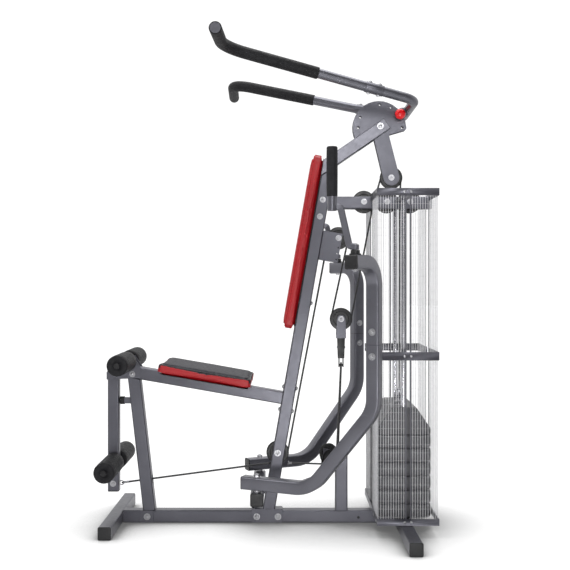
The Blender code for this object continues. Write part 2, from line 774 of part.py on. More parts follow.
# ---------------------------------------------------------------- press arms
def arm_path():
    """Centre line of the far arm: forward stub, slope, upright run and outward top end."""
    out = Vector((math.cos(ARM_TOE), math.sin(ARM_TOE), 0.0))

    def point(reach, z):
        return Vector((ARM_PIVOT.x, ARM_PIVOT.y, z)) + out * reach

    split = point(ARM_REACH, ARM_SPLIT_Z)
    lower = [
        point(-ARM_STUB, ARM_PIVOT.z),
        point(ARM_LOW_CORNER, ARM_PIVOT.z),
        point(ARM_REACH, ARM_PIVOT.z + (ARM_REACH - ARM_LOW_CORNER) * ARM_SLOPE),
        split,
    ]
    top = point(ARM_REACH, ARM_TOP_Z)
    upper = [split, top, top + ARM_TOP_WAY * ARM_TOP_LENGTH]
    return rounded(lower, ARM_BEND, steps=4)[:-1] + rounded(upper, ARM_TOP_BEND, steps=4)


def build_press_arms():
    path = arm_path()
    side = Vector((-math.sin(ARM_TOE), math.cos(ARM_TOE), 0.0))
    far = square_tube(path, side=side)
    end = path[-1]
    back_along = (path[-2] - path[-1]).normalized()
    bolt = end + back_along * HANDLE_BOLT_INSET
    for name, sign in (("near", -1.0), ("far", 1.0)):
        bm = mirrored(far) if sign < 0 else far.copy()
        origin = (ARM_PIVOT.x, sign * ARM_PIVOT.y, ARM_PIVOT.z)
        add_object(f"press_arm_{name}", bm, "frame", origin=origin)
        build_handle(name, sign, bolt)
    far.free()


def build_handle(name, sign, bolt):
    """A swivel boss on the arm's end, a bent strap, and an upright tube with a foam grip."""
    boss_low = ARM_TOP_Z + HALF + 0.019
    boss_high = boss_low + 0.018
    y = sign * abs(bolt.y)
    centre = (bolt.x, y, 0.0)
    boss_profile = [
        (0.0, boss_low),
        (0.013, boss_low),
        (0.014, boss_low + 0.001),
        (0.014, boss_high),
        (0.0, boss_high),
    ]
    handle = add_object(
        f"press_handle_{name}",
        lathe(boss_profile, centre, (0, 0, 1), 16),
        "frame",
        origin=(bolt.x, y, boss_low),
    )
    neck = Vector((bolt.x, y, (boss_low + boss_high) / 2 + 0.0006))
    foot = neck + Vector((-0.0205, sign * -0.0030, 0.0040))
    high = Vector((HANDLE_X + 0.030, sign * HANDLE_Y, HANDLE_BOTTOM + 0.012))
    tube = Vector((HANDLE_X + 0.004, sign * HANDLE_Y, HANDLE_BOTTOM + 0.016))
    strap_path = rounded([neck, foot, high, tube], 0.010, steps=3)
    strap = sweep(strap_path, section(0.014, 0.024, 0.004), SIDE)
    weld(handle, f"strap_{name}", strap)
    tube_profile = [
        (0.0, HANDLE_BOTTOM),
        (HANDLE_RADIUS - 0.001, HANDLE_BOTTOM),
        (HANDLE_RADIUS, HANDLE_BOTTOM + 0.001),
        (HANDLE_RADIUS, GRIP_TOP - 0.006),
        (0.0, GRIP_TOP - 0.006),
    ]
    weld(handle, f"tube_{name}", lathe(tube_profile, (HANDLE_X, sign * HANDLE_Y, 0), (0, 0, 1), 16))
    bore = HANDLE_RADIUS + 0.0006
    grip_profile = [
        (0.0, GRIP_TOP - 0.005),
        (bore, GRIP_TOP - 0.005),
        (bore, GRIP_BOTTOM),
        (GRIP_RADIUS, GRIP_BOTTOM),
        (GRIP_RADIUS, GRIP_TOP - 0.003),
        (GRIP_RADIUS - 0.003, GRIP_TOP),
        (0.0, GRIP_TOP),
    ]
    bm = lathe(grip_profile, (HANDLE_X, sign * HANDLE_Y, 0), (0, 0, 1), 16)
    add_object(f"press_grip_{name}", bm, "foam", origin=(HANDLE_X, sign * HANDLE_Y, GRIP_BOTTOM))


# ---------------------------------------------------------------- lat station
def lat_leg_point(x):
    """Centre of the far leg of the lat bar. The legs rise and spread towards the tips."""
    along = LAT_CROSSBAR[0] - x
    return Vector((x, LAT_LEG_Y + LAT_LEG_SPLAY * along, LAT_CROSSBAR[1] + along * math.tan(LAT_SLOPE)))


def lat_half_path():
    """Centre line of the far half of the lat bar, from its middle to the outward tip."""
    middle = Vector((LAT_CROSSBAR[0], 0.0, LAT_CROSSBAR[1]))
    rear_corner = lat_leg_point(LAT_CROSSBAR[0])
    tip_corner = lat_leg_point(LAT_CORNER_X)
    tip = Vector((LAT_CORNER_X - 0.008, LAT_TIP_Y, tip_corner.z - 0.006))
    halfway = rear_corner.lerp(tip_corner, 0.5)
    rear = rounded([middle, rear_corner, halfway], LAT_REAR_BEND, steps=4)
    front = rounded([halfway, tip_corner, tip], LAT_TIP_BEND, steps=5)
    return rear[:-1] + front[1:]


def build_lat_bar():
    half = lat_half_path()
    mirrored_half = [Vector((point.x, -point.y, point.z)) for point in half]
    path = mirrored_half[:0:-1] + half[1:]
    bar = add_object(
        "lat_bar",
        round_tube(path, LAT_BAR_RADIUS, TUBE_WALL, (0, 0, 1), LAT_BAR_SIDES),
        "frame",
        origin=LAT_PIVOT,
    )
    pivot = (LAT_PIVOT.x, LAT_PIVOT.z)
    toward = math.atan2(LAT_CROSSBAR[1] - pivot[1], LAT_CROSSBAR[0] - pivot[0])
    hub = circle(pivot, 0.022, 9, toward + math.pi / 2, toward + 3 * math.pi / 2)
    edge = []
    end = math.hypot(LAT_CROSSBAR[0] - pivot[0], LAT_CROSSBAR[1] - pivot[1]) - 0.012
    for reach, across in ((end - 0.018, -0.022), (end, -0.014), (end, 0.014), (end - 0.018, 0.022)):
        x = pivot[0] + reach * math.cos(toward) - across * math.sin(toward)
        z = pivot[1] + reach * math.sin(toward) + across * math.cos(toward)
        edge.append((x, z))
    pin_hole = circle(LAT_PIN, 0.0052, 8)
    weld(bar, "lat_tab", slab(hub + edge, [pin_hole], -LAT_TAB_HALF, LAT_TAB_HALF))

    grip_half = [point for point in half if point.x < LAT_GRIP_END_X]
    outer = round_section(LAT_GRIP_RADIUS, LAT_BAR_SIDES)
    inner = round_section(LAT_BAR_RADIUS + LAT_GRIP_PLAY, LAT_BAR_SIDES)
    grip = sweep([lat_leg_point(LAT_GRIP_END_X), *grip_half], outer, (0, 0, 1), inner)
    add_object("lat_grip_near", mirrored(grip), "foam", origin=LAT_PIVOT)
    add_object("lat_grip_far", grip, "foam", origin=LAT_PIVOT)


def sector_outline():
    """Side plate: a part disc over the pivot with a rear lug, and an arm down to the lever pulley."""
    px, pz = LAT_PIVOT.x, LAT_PIVOT.z
    centre = (px + SECTOR_SHIFT[0], pz + SECTOR_SHIFT[1])
    pin_side = circle((px, pz), SECTOR_PIN_SIDE, 4, math.radians(14), math.radians(38))
    disc = circle(centre, SECTOR_RADIUS, 16, math.radians(47), math.radians(210))
    ux, uz = LEVER_PULLEY
    down = math.atan2(uz - pz, ux - px)
    end = circle((ux, uz), SECTOR_ARM_HALF, 9, down - math.pi / 2, down + math.pi / 2)
    neck_left = (px - 0.0248, pz - 0.055)
    neck_right = (px + 0.0353, pz - 0.0345)
    lug = [(px + 0.1010, pz - 0.0155), (px + 0.1070, pz - 0.0080)]
    return [*pin_side, *disc, neck_left, *end, neck_right, *lug]


def build_lat_sector():
    px, pz = LAT_PIVOT.x, LAT_PIVOT.z
    ring = math.hypot(LAT_PIN[0] - px, LAT_PIN[1] - pz)
    holes = [circle(LAT_PIN, 0.0052, 8)]
    for degrees in (-3, 61, 91, 155, 183):
        angle = math.radians(degrees)
        holes.append(circle((px + ring * math.cos(angle), pz + ring * math.sin(angle)), 0.0055, 8))
    plate = slab(sector_outline(), holes, SECTOR_INNER, SECTOR_OUTER)
    sector = add_object("lat_sector", mirrored(plate), "frame", origin=LAT_PIVOT)
    weld(sector, "sector_far", plate)
    middle = LAT_PIVOT.lerp(Vector((LEVER_PULLEY[0], 0, LEVER_PULLEY[1])), 0.50)
    reach = SECTOR_INNER + 0.001
    low = (middle.x - 0.018, -reach, middle.z - 0.012)
    weld(sector, "sector_spacer", box(low, (middle.x + 0.018, reach, middle.z + 0.012)))


def build_lat_pin():
    profile = [
        (0.0, 0.0040),
        (0.0035, 0.0040),
        (0.0045, 0.0050),
        (0.0045, 0.0200),
        (0.0100, 0.0200),
        (0.0100, 0.0300),
        (0.0130, 0.0320),
        (LAT_KNOB_RADIUS - 0.001, 0.0420),
        (LAT_KNOB_RADIUS, 0.0500),
        (LAT_KNOB_RADIUS - 0.004, 0.0600),
        (0.0090, 0.0640),
        (0.0, 0.0645),
    ]
    centre = (LAT_PIN[0], 0.0, LAT_PIN[1])
    add_object("lat_pull_pin", lathe(profile, centre, (0, -1, 0), 16), "knob", origin=centre)


# ---------------------------------------------------------------- pulleys
def pulley(axis_point, axis):
    """A grooved wheel with a hub that stands 1 mm proud of its flanges on each side."""
    half = PULLEY_HALF_WIDTH
    hub = half + 0.001
    web = half - 0.002
    rim = half - 0.001
    profile = [
        (0.0, -hub),
        (0.012, -hub),
        (0.012, -web),
        (PULLEY_RADIUS, -rim),
        (PULLEY_GROOVE, -GROOVE_HALF_WIDTH),
        (PULLEY_GROOVE, GROOVE_HALF_WIDTH),
        (PULLEY_RADIUS, rim),
        (0.012, web),
        (0.012, hub),
        (0.0, hub),
    ]
    return lathe(profile, axis_point, axis, PULLEY_SIDES)


def build_pulleys():
    places = {
        "top_pulley_front": TOP_PULLEYS[0],
        "top_pulley_middle": TOP_PULLEYS[1],
        "top_pulley_rear": TOP_PULLEYS[2],
        "lever_pulley": LEVER_PULLEY,
        "bracket_pulley": BRACKET_PULLEY,
        "floating_pulley": FLOATING_PULLEY,
        "foot_pulley": FOOT_PULLEY,
    }
    for name, (x, z) in places.items():
        add_object(name, pulley((x, 0, z), (0, 1, 0)), "pulley", origin=(x, 0, z))
    _, axle = low_pulley_directions()
    for side, sign in (("near", -1.0), ("far", 1.0)):
        centre = Vector((LOW_PULLEY.x, sign * LOW_PULLEY.y, LOW_PULLEY.z))
        direction = Vector((axle.x, sign * axle.y, 0.0))
        add_object(f"low_pulley_{side}", pulley(centre, direction), "pulley", origin=centre)


def build_floating_fork():
    """The fork of the floating pulley with its tapered block and the shackle below it."""
    x, z = FLOATING_PULLEY
    top = circle((x, z), 0.017, 7, 0.0, math.pi)
    cheek = [*top, (x - 0.020, z - 0.055), (x - 0.020, z - 0.078)]
    cheek += [(x + 0.020, z - 0.078), (x + 0.020, z - 0.055)]
    plate = slab(cheek, [], 0.0122, 0.0152)
    fork = add_object("floating_fork", mirrored(plate), "frame", origin=(x, 0, z))
    weld(fork, "fork_cheek_far", plate)
    weld(fork, "fork_bridge", box((x - 0.0195, -0.0147, z - 0.0775), (x + 0.0195, 0.0147, z - 0.0640)))
    block = [
        (x - 0.016, z - 0.070),
        (x + 0.016, z - 0.070),
        (x + 0.013, z - 0.160),
        (x - 0.013, z - 0.160),
    ]
    weld(fork, "fork_block", slab(block, [], -0.0125, 0.0125))
    for side, sign in (("front", -1.0), ("rear", 1.0)):
        low_x, high_x = sorted((x + sign * 0.0060, x + sign * 0.0105))
        weld(fork, f"fork_leg_{side}", box((low_x, -0.008, z - 0.196), (high_x, 0.008, z - 0.158)))
    pin = [(0.0, -0.0082), (0.0048, -0.0082), (0.0048, 0.0082), (0.0, 0.0082)]
    weld(fork, "fork_pin", lathe(pin, (x, 0, z - 0.188), (1, 0, 0), 8))


# ---------------------------------------------------------------- cables
def tangent_angles(first, second):
    """Angles of the straight run that leaves one circle and meets the next.

    Each circle is (x, z, radius, turn). The turn is +1 where the run goes round it counterclockwise in
    the X-Z plane, and -1 where it goes round clockwise. A radius of 0 is a plain point.
    """
    dx = second[0] - first[0]
    dz = second[1] - first[1]
    distance = math.hypot(dx, dz)
    heading = math.atan2(dz, dx)
    lean = math.asin((second[2] * second[3] - first[2] * first[3]) / distance)
    run = heading - lean
    return run - first[3] * math.pi / 2, run - second[3] * math.pi / 2


def belt(circles, step):
    """Points of a cable laid round circles in a vertical plane, as (u, z) pairs."""
    leaving = []
    arriving = [None]
    for first, second in zip(circles[:-1], circles[1:]):
        start, end = tangent_angles(first, second)
        leaving.append(start)
        arriving.append(end)
    leaving.append(None)
    points = []
    for (x, z, radius, turn), begin, finish in zip(circles, arriving, leaving):
        if radius == 0.0:
            points.append((x, z))
            continue
        sweep_angle = (finish - begin) * turn % (2 * math.pi)
        if sweep_angle > 1.9 * math.pi:
            sweep_angle = 0.0
        count = max(1, math.ceil(sweep_angle / step))
        for i in range(count + 1):
            angle = begin + turn * sweep_angle * i / count
            points.append((x + radius * math.cos(angle), z + radius * math.sin(angle)))
    return points


def cable_object(name, points):
    curve = bpy.data.curves.new(name, "CURVE")
    curve.dimensions = "3D"
    curve.bevel_depth = CABLE_RADIUS
    curve.bevel_resolution = 2
    curve.use_fill_caps = True
    spline = curve.splines.new("POLY")
    spline.points.add(len(points) - 1)
    for slot, point in zip(spline.points, points):
        slot.co = (*point, 1.0)
    item = bpy.data.objects.new(name, curve)
    bpy.context.scene.collection.objects.link(item)
    color, roughness, metallic = MATERIALS["cable"]
    curve.materials.append(make_material(name, color, roughness, metallic))
    return item


def build_cables():
    def wheel(place, turn):
        return (place[0], place[1], CABLE_RUN, turn)

    main = [
        (STACK_X, STEM_TOP + GAP, 0.0, 0.0),
        wheel(TOP_PULLEYS[2], -1.0),
        wheel(LEVER_PULLEY, 1.0),
        wheel(TOP_PULLEYS[0], -1.0),
        wheel(FLOATING_PULLEY, -1.0),
        wheel(BRACKET_PULLEY, 1.0),
        wheel(FOOT_PULLEY, -1.0),
        (LEG_EYE.x, LEG_EYE.z, 0.0, 0.0),
    ]
    points = [Vector((x, 0.0, z)) for x, z in belt(main, CABLE_STEP)]
    cable_object("main_cable", points)

    away, _ = low_pulley_directions()
    pin_z = FLOATING_PULLEY[1] - 0.188
    loop = 0.0048 + CABLE_RADIUS + GAP
    block = Vector((FLOATING_PULLEY[0], loop, pin_z))
    rise = (block - LOW_PULLEY).dot(away)
    run = (ARM_EYE - LOW_PULLEY).dot(away)
    shape = belt(
        [
            (run, ARM_EYE.z - LOW_PULLEY.z, 0.0, 0.0),
            (0.0, 0.0, CABLE_RUN, -1.0),
            (rise, pin_z - LOW_PULLEY.z, 0.0, 0.0),
        ],
        CABLE_STEP,
    )
    half = [LOW_PULLEY + away * u + Vector((0, 0, v)) for u, v in shape[:-1]]
    half.append(block)
    for angle in (math.pi / 6, math.pi / 3):
        half.append(block + Vector((0, -loop + loop * math.cos(angle), loop * math.sin(angle))))
    top = Vector((FLOATING_PULLEY[0], 0.0, pin_z + loop))
    near = [Vector((point.x, -point.y, point.z)) for point in half]
    cable_object("arm_cable", near + [top] + half[::-1])


def build():
    clear_scene()
    build_feet_and_base()
    build_front()
    build_upright()
    build_boom()
    build_top_beam()
    build_pulley_bracket()
    build_rails()
    build_guide_rods()
    build_shroud()
    build_stack()
    build_pads()
    build_leg_developer()
    build_press_arms()
    build_lat_bar()
    build_lat_sector()
    build_lat_pin()
    build_pulleys()
    build_floating_fork()
    build_cables()


build()
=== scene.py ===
"""Visual model of the multi station home gym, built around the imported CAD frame.

Metres, +Z up. The user faces -X, the weight stack is at +X and -Y is the near side.
"""

import math
from collections import namedtuple

import bmesh
import bpy
from mathutils import Matrix, Vector
from mathutils.bvhtree import BVHTree


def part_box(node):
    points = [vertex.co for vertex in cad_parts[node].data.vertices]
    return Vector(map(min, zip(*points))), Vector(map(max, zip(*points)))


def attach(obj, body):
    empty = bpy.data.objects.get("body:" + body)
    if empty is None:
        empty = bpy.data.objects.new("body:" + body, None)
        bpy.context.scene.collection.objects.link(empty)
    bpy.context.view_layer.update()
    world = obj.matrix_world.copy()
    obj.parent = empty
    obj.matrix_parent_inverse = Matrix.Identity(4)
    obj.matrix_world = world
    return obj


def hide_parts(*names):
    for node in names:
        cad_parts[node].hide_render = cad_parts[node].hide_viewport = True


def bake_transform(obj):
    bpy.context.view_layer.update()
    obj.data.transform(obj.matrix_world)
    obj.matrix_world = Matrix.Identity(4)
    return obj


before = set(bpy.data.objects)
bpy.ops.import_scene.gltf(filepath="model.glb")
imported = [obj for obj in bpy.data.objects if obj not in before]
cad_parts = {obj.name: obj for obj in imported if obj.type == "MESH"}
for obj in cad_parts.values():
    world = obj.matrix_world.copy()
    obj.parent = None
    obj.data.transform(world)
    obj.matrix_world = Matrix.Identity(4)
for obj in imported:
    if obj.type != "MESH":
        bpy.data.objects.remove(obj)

for leftover in ("Cube", "Light", "Camera"):
    if leftover in bpy.data.objects:
        bpy.data.objects.remove(bpy.data.objects[leftover], do_unlink=True)
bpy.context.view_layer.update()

X_AXIS = Vector((1.0, 0.0, 0.0))
Y_AXIS = Vector((0.0, 1.0, 0.0))
Z_AXIS = Vector((0.0, 0.0, 1.0))

TUBE = 0.050
HALF = TUBE / 2
TILT = math.radians(9.9)
UP = Vector((math.sin(TILT), 0.0, math.cos(TILT)))
BACK = Vector((math.cos(TILT), 0.0, -math.sin(TILT)))
UPRIGHT_BASE = Vector((0.0018, 0.0, 0.050))
SEAT_BEAM_START = Vector((-0.5765, 0.0, 0.6171))
SIDES = (("near", -1), ("far", 1))
# Axles in the machine's middle plane, as (x, z).
TOP_PULLEYS = ((0.390, 1.305), (0.484, 1.305), (0.5775, 1.305))
LEVER_PULLEY = (0.502, 1.4036)
BRACKET_PULLEY = (0.2865, 1.157)
FLOATING_PULLEY = (0.2975, 0.827)
FOOT_PULLEY = (0.0385, 0.283)
LAT_PIVOT = (0.4565, 1.612)


# ---------------------------------------------------------------- materials
class Shader:
    """A Principled material whose colour, roughness and bump come from procedural nodes."""

    def __init__(self, name, color, metallic=0.0, roughness=0.5, **sockets):
        self.material = bpy.data.materials.new(name)
        self.material.use_nodes = True
        self.tree = self.material.node_tree
        self.shader = self.tree.nodes["Principled BSDF"]
        self.color = color
        self.shader.inputs["Metallic"].default_value = metallic
        self.shader.inputs["Base Color"].default_value = (*color, 1.0)
        self.shader.inputs["Roughness"].default_value = roughness
        for socket, value in sockets.items():
            self.shader.inputs[socket.replace("_", " ")].default_value = value
        self.place = self.node("TexCoord").outputs["Object"]
        self.last_color = None
        self.normal = None

    def node(self, kind):
        return self.tree.nodes.new("ShaderNode" + kind)

    def link(self, source, target):
        self.tree.links.new(source, target)

    def stretched(self, scale):
        mapping = self.node("Mapping")
        mapping.inputs["Scale"].default_value = scale
        self.link(self.place, mapping.inputs["Vector"])
        return mapping.outputs["Vector"]

    def noise(self, scale, detail=3.0, stretch=None):
        noise = self.node("TexNoise")
        noise.inputs["Scale"].default_value = scale
        noise.inputs["Detail"].default_value = detail
        self.link(self.stretched(stretch) if stretch else self.place, noise.inputs["Vector"])
        return noise.outputs["Fac"]

    def cells(self, scale):
        cells = self.node("TexVoronoi")
        cells.inputs["Scale"].default_value = scale
        self.link(self.place, cells.inputs["Vector"])
        return cells.outputs["Distance"]

    def spread(self, value, low, high, start=0.3, end=0.7):
        ramp = self.node("MapRange")
        ramp.inputs["From Min"].default_value = start
        ramp.inputs["From Max"].default_value = end
        ramp.inputs["To Min"].default_value = low
        ramp.inputs["To Max"].default_value = high
        self.link(value, ramp.inputs["Value"])
        return ramp.outputs["Result"]

    def tint(self, mask, color, amount=1.0):
        """Mix a second colour in where the mask is high."""
        mix = self.node("Mix")
        mix.data_type = "RGBA"
        scaled = self.node("Math")
        scaled.operation = "MULTIPLY"
        scaled.inputs[1].default_value = amount
        self.link(mask, scaled.inputs[0])
        self.link(scaled.outputs[0], mix.inputs[0])
        if self.last_color is None:
            mix.inputs[6].default_value = (*self.color, 1.0)
        else:
            self.link(self.last_color, mix.inputs[6])
        mix.inputs[7].default_value = (*color, 1.0)
        self.last_color = mix.outputs[2]
        self.link(self.last_color, self.shader.inputs["Base Color"])
        return self

    def rough(self, value, low, high, start=0.3, end=0.7):
        self.link(self.spread(value, low, high, start, end), self.shader.inputs["Roughness"])
        return self

    def bump(self, value, strength, distance):
        bump = self.node("Bump")
        bump.inputs["Strength"].default_value = strength
        bump.inputs["Distance"].default_value = distance
        self.link(value, bump.inputs["Height"])
        if self.normal is not None:
            self.link(self.normal, bump.inputs["Normal"])
        self.normal = bump.outputs["Normal"]
        self.link(self.normal, self.shader.inputs["Normal"])
        return self


def metal_paint(name, color, bright, metallic=0.72, roughness=0.36):
    """Metallic powder coat: fine flake, faint orange peel, slow colour drift and thin scuffs."""
    coat = Shader(name, color, metallic, roughness, Coat_Weight=0.10, Coat_Roughness=0.30)
    drift = coat.noise(7.0, 4.0)
    coat.tint(coat.spread(drift, 0.0, 1.0, 0.35, 0.68), bright, 0.35)
    flake = coat.noise(1500.0, 1.0)
    coat.tint(coat.spread(flake, 0.0, 1.0, 0.56, 0.72), bright, 0.18)
    scuff = coat.noise(18.0, 6.0, (1.0, 1.0, 7.0))
    coat.tint(coat.spread(scuff, 0.0, 1.0, 0.66, 0.78), [min(1.0, value * 1.3) for value in bright], 0.16)
    coat.rough(coat.noise(55.0, 5.0), roughness - 0.02, roughness + 0.05)
    coat.bump(coat.noise(260.0, 2.0), 0.012, 0.0002)
    return coat.material


def chrome(name, color=(0.58, 0.58, 0.62), roughness=0.16):
    plate = Shader(name, color, 1.0, roughness)
    streak = plate.noise(40.0, 5.0, (9.0, 9.0, 0.6))
    plate.tint(plate.spread(streak, 0.0, 1.0, 0.4, 0.7), [value * 0.72 for value in color], 0.4)
    plate.rough(streak, roughness - 0.06, roughness + 0.12)
    plate.bump(plate.noise(120.0, 2.0), 0.008, 0.0002)
    return plate.material


def moulded(name, color, roughness=0.42, grain=900.0):
    """Moulded plastic with a fine spark-eroded grain."""
    body = Shader(name, color, 0.0, roughness)
    body.tint(body.spread(body.noise(12.0, 4.0), 0.0, 1.0), [value * 1.8 + 0.006 for value in color], 0.4)
    body.rough(body.noise(60.0, 4.0), roughness - 0.10, roughness + 0.12)
    body.bump(body.cells(grain), 0.12, 0.0003)
    return body.material


def upholstery(name, color, dark, roughness=0.46):
    """Coated upholstery fabric: small grain cells, soft creases and a slow colour drift."""
    skin = Shader(name, color, 0.0, roughness, Coat_Weight=0.04, Coat_Roughness=0.4)
    drift = skin.noise(9.0, 4.0)
    skin.tint(skin.spread(drift, 0.0, 1.0), dark, 0.45)
    grain = skin.cells(620.0)
    skin.tint(skin.spread(grain, 1.0, 0.0, 0.05, 0.35), dark, 0.30)
    skin.rough(skin.noise(80.0, 4.0), roughness - 0.08, roughness + 0.12)
    skin.bump(skin.noise(16.0, 4.0, (1.0, 2.2, 1.0)), 0.16, 0.004)
    skin.bump(grain, 0.30, 0.0005)
    return skin.material


def foam(name, color):
    """Closed-cell foam sleeve: matt, with pores and faint scuffing."""
    sleeve = Shader(name, color, 0.0, 0.6, Specular_IOR_Level=0.32)
    sleeve.tint(sleeve.spread(sleeve.noise(22.0, 5.0), 0.0, 1.0, 0.45, 0.75), (0.012, 0.012, 0.015), 0.45)
    pores = sleeve.cells(760.0)
    sleeve.tint(sleeve.spread(pores, 1.0, 0.0, 0.0, 0.22), (0.004, 0.004, 0.005), 0.5)
    sleeve.rough(sleeve.noise(90.0, 4.0), 0.52, 0.74)
    sleeve.bump(pores, 0.45, 0.0006)
    sleeve.bump(sleeve.noise(45.0, 4.0), 0.10, 0.0015)
    return sleeve.material


def cable_jacket(name):
    jacket = Shader(name, (0.012, 0.012, 0.014), 0.0, 0.34, Coat_Weight=0.3, Coat_Roughness=0.2)
    jacket.tint(jacket.spread(jacket.noise(30.0, 4.0), 0.0, 1.0), (0.035, 0.035, 0.038), 0.5)
    jacket.rough(jacket.noise(140.0, 4.0), 0.26, 0.46)
    jacket.bump(jacket.noise(900.0, 2.0), 0.08, 0.0002)
    return jacket.material


def plate_shell(name):
    """Dark plastic shell of a filled weight plate, with a slow tone drift and lighter flecks scattered at
    random.
    """
    shell = Shader(name, (0.055, 0.055, 0.062), 0.0, 0.40)
    shell.tint(shell.spread(shell.noise(10.0, 5.0), 0.0, 1.0), (0.085, 0.085, 0.092), 0.5)
    shell.tint(shell.spread(shell.noise(70.0, 6.0), 0.0, 1.0, 0.60, 0.78), (0.14, 0.14, 0.15), 0.3)
    shell.rough(shell.noise(50.0, 4.0), 0.30, 0.50)
    shell.bump(shell.cells(480.0), 0.20, 0.0005)
    return shell.material


GREY = (0.105, 0.105, 0.124)
GREY_BRIGHT = (0.165, 0.165, 0.190)
LOOK = {
    "frame": metal_paint("frame_paint_metallic", GREY, GREY_BRIGHT),
    "arm": metal_paint("arm_paint_metallic", (0.130, 0.130, 0.150), (0.21, 0.21, 0.24), 0.78, 0.33),
    "dark": metal_paint("flange_paint", (0.075, 0.075, 0.088), (0.13, 0.13, 0.15), 0.55, 0.42),
    "mesh": metal_paint("mesh_paint_light", (0.66, 0.66, 0.68), (0.80, 0.80, 0.82), 0.10, 0.45),
    "chrome": chrome("rod_chrome"),
    "bolt": chrome("bolt_zinc", (0.44, 0.44, 0.46), 0.30),
    "black": moulded("black_plastic", (0.006, 0.006, 0.007)),
    "pulley": moulded("pulley_plastic", (0.008, 0.008, 0.009), 0.34),
    "rubber": moulded("stop_rubber", (0.005, 0.005, 0.006), 0.7, 400.0),
    "knob": moulded("knob_plastic", (0.62, 0.004, 0.008), 0.22),
    "red": upholstery("upholstery_red", (0.40, 0.002, 0.007), (0.27, 0.001, 0.004)),
    "slate": upholstery("upholstery_slate", (0.014, 0.014, 0.022), (0.008, 0.008, 0.013), 0.62),
    "piping": upholstery("piping_black", (0.012, 0.012, 0.014), (0.004, 0.004, 0.005), 0.40),
    "foam": foam("foam_black", (0.0055, 0.0055, 0.0072)),
    "cable": cable_jacket("cable_jacket"),
    "plate": plate_shell("weight_plate_shell"),
}


# ---------------------------------------------------------------- shapes
def circle(centre, radius, count, start=0.0, stop=2 * math.pi):
    whole = abs(stop - start) > 2 * math.pi - 1e-6
    steps = count if whole else count - 1
    angles = [start + (stop - start) * i / steps for i in range(count)]
    return [(centre[0] + radius * math.cos(a), centre[1] + radius * math.sin(a)) for a in angles]


def rounded_rectangle(width, height, radius, steps=3):
    points = []
    for sx, sy, start in ((1, 1, 0.0), (-1, 1, 0.5), (-1, -1, 1.0), (1, -1, 1.5)):
        centre = (sx * (width / 2 - radius), sy * (height / 2 - radius))
        points += circle(centre, radius, steps + 1, start * math.pi, (start + 0.5) * math.pi)
    return points


def rounded(points, radius, steps):
    """Replace each inner corner of a 3-D path by an arc of the radius given."""
    points = [Vector(point) for point in points]
    result = [points[0]]
    for before, corner, after in zip(points[:-2], points[1:-1], points[2:]):
        into = (corner - before).normalized()
        out = (after - corner).normalized()
        turn = into.angle(out)
        centre = corner + (out - into).normalized() * (radius / math.cos(turn / 2))
        start = corner - into * radius * math.tan(turn / 2)
        axis = into.cross(out).normalized()
        for i in range(steps + 1):
            result.append(centre + Matrix.Rotation(turn * i / steps, 3, axis) @ (start - centre))
    result.append(points[-1])
    return result


def add_rings(bm, rows, closed=False, capped=True):
    """Join rows of points into a skin. The rows are lists of positions of equal length."""
    made = [[bm.verts.new(point) for point in row] for row in rows]
    count = len(made[0])
    pairs = list(zip(made[:-1], made[1:]))
    if closed:
        pairs.append((made[-1], made[0]))
    for first, second in pairs:
        for i in range(count):
            j = (i + 1) % count
            bm.faces.new((first[i], first[j], second[j], second[i]))
    if capped and not closed:
        bm.faces.new(made[0])
        bm.faces.new(made[-1])
    return made


def add_sweep(bm, points, outline, side, scales=None):
    """Run an outline along a path without twist, with closed ends."""
    points = [Vector(point) for point in points]
    last = len(points) - 1
    across = Vector(side)
    rows = []
    for index, point in enumerate(points):
        into = (point - points[index - 1]).normalized() if index > 0 else None
        out = (points[index + 1] - point).normalized() if index < last else into
        into = into or out
        if index > 0:
            across = previous.rotation_difference(into) @ across
        previous = into
        across = (across - across.dot(into) * into).normalized()
        upward = into.cross(across)
        normal = (into + out).normalized()
        scale = scales[index] if scales else 1.0
        row = []
        for x, y in outline:
            offset = (across * x + upward * y) * scale
            offset -= into * (offset.dot(normal) / into.dot(normal))
            row.append(point + offset)
        rows.append(row)
    return add_rings(bm, rows)


def add_lathe(bm, profile, centre, axis, count=32, closed=False):
    """Turn (radius, height) points about an axis. A profile that starts or ends off the axis is capped."""
    axis = Vector(axis).normalized()
    across = X_AXIS if abs(axis.x) < 0.9 else Y_AXIS
    across = (across - across.dot(axis) * axis).normalized()
    other = axis.cross(across)
    centre = Vector(centre)
    rows = []
    for radius, height in profile:
        row = []
        for i in range(count):
            angle = 2 * math.pi * i / count
            reach = across * math.cos(angle) + other * math.sin(angle)
            row.append(centre + axis * height + reach * max(radius, 1e-5))
        rows.append(row)
    return add_rings(bm, rows, closed=closed)


def add_eye(bm, centre, across, upward, radius, thick):
    """A ring of round wire in the plane of two unit vectors."""
    side = across.cross(upward)
    rows = []
    for u, v in circle((0, 0), 1.0, 20):
        out = across * u + upward * v
        rows.append([centre + out * (radius + x) + side * y for x, y in circle((0, 0), thick, 8)])
    add_rings(bm, rows, closed=True)

def add_bolt(bm, centre, axis, radius=0.0085, height=0.006):
    """A hexagon head with a turned chamfer and a low dome, on a washer."""
    plate = 0.0014
    wide = radius * 1.45
    ring = [(0.0, 0.0), (wide, 0.0), (wide, plate * 0.7), (wide - 0.0006, plate), (0.0, plate)]
    add_lathe(bm, ring, centre, axis, 24)
    head = [(0.0, plate * 0.5), (radius, plate * 0.5), (radius, height * 0.78)]
    head += [(radius * 0.86, height), (radius * 0.5, height), (0.0, height * 1.04)]
    add_lathe(bm, head, centre, axis, 6)
    dome = [(0.0, height * 0.9), (radius * 0.62, height * 0.9), (radius * 0.55, height * 1.12)]
    dome += [(radius * 0.30, height * 1.24), (0.0, height * 1.28)]
    add_lathe(bm, dome, centre, axis, 18)


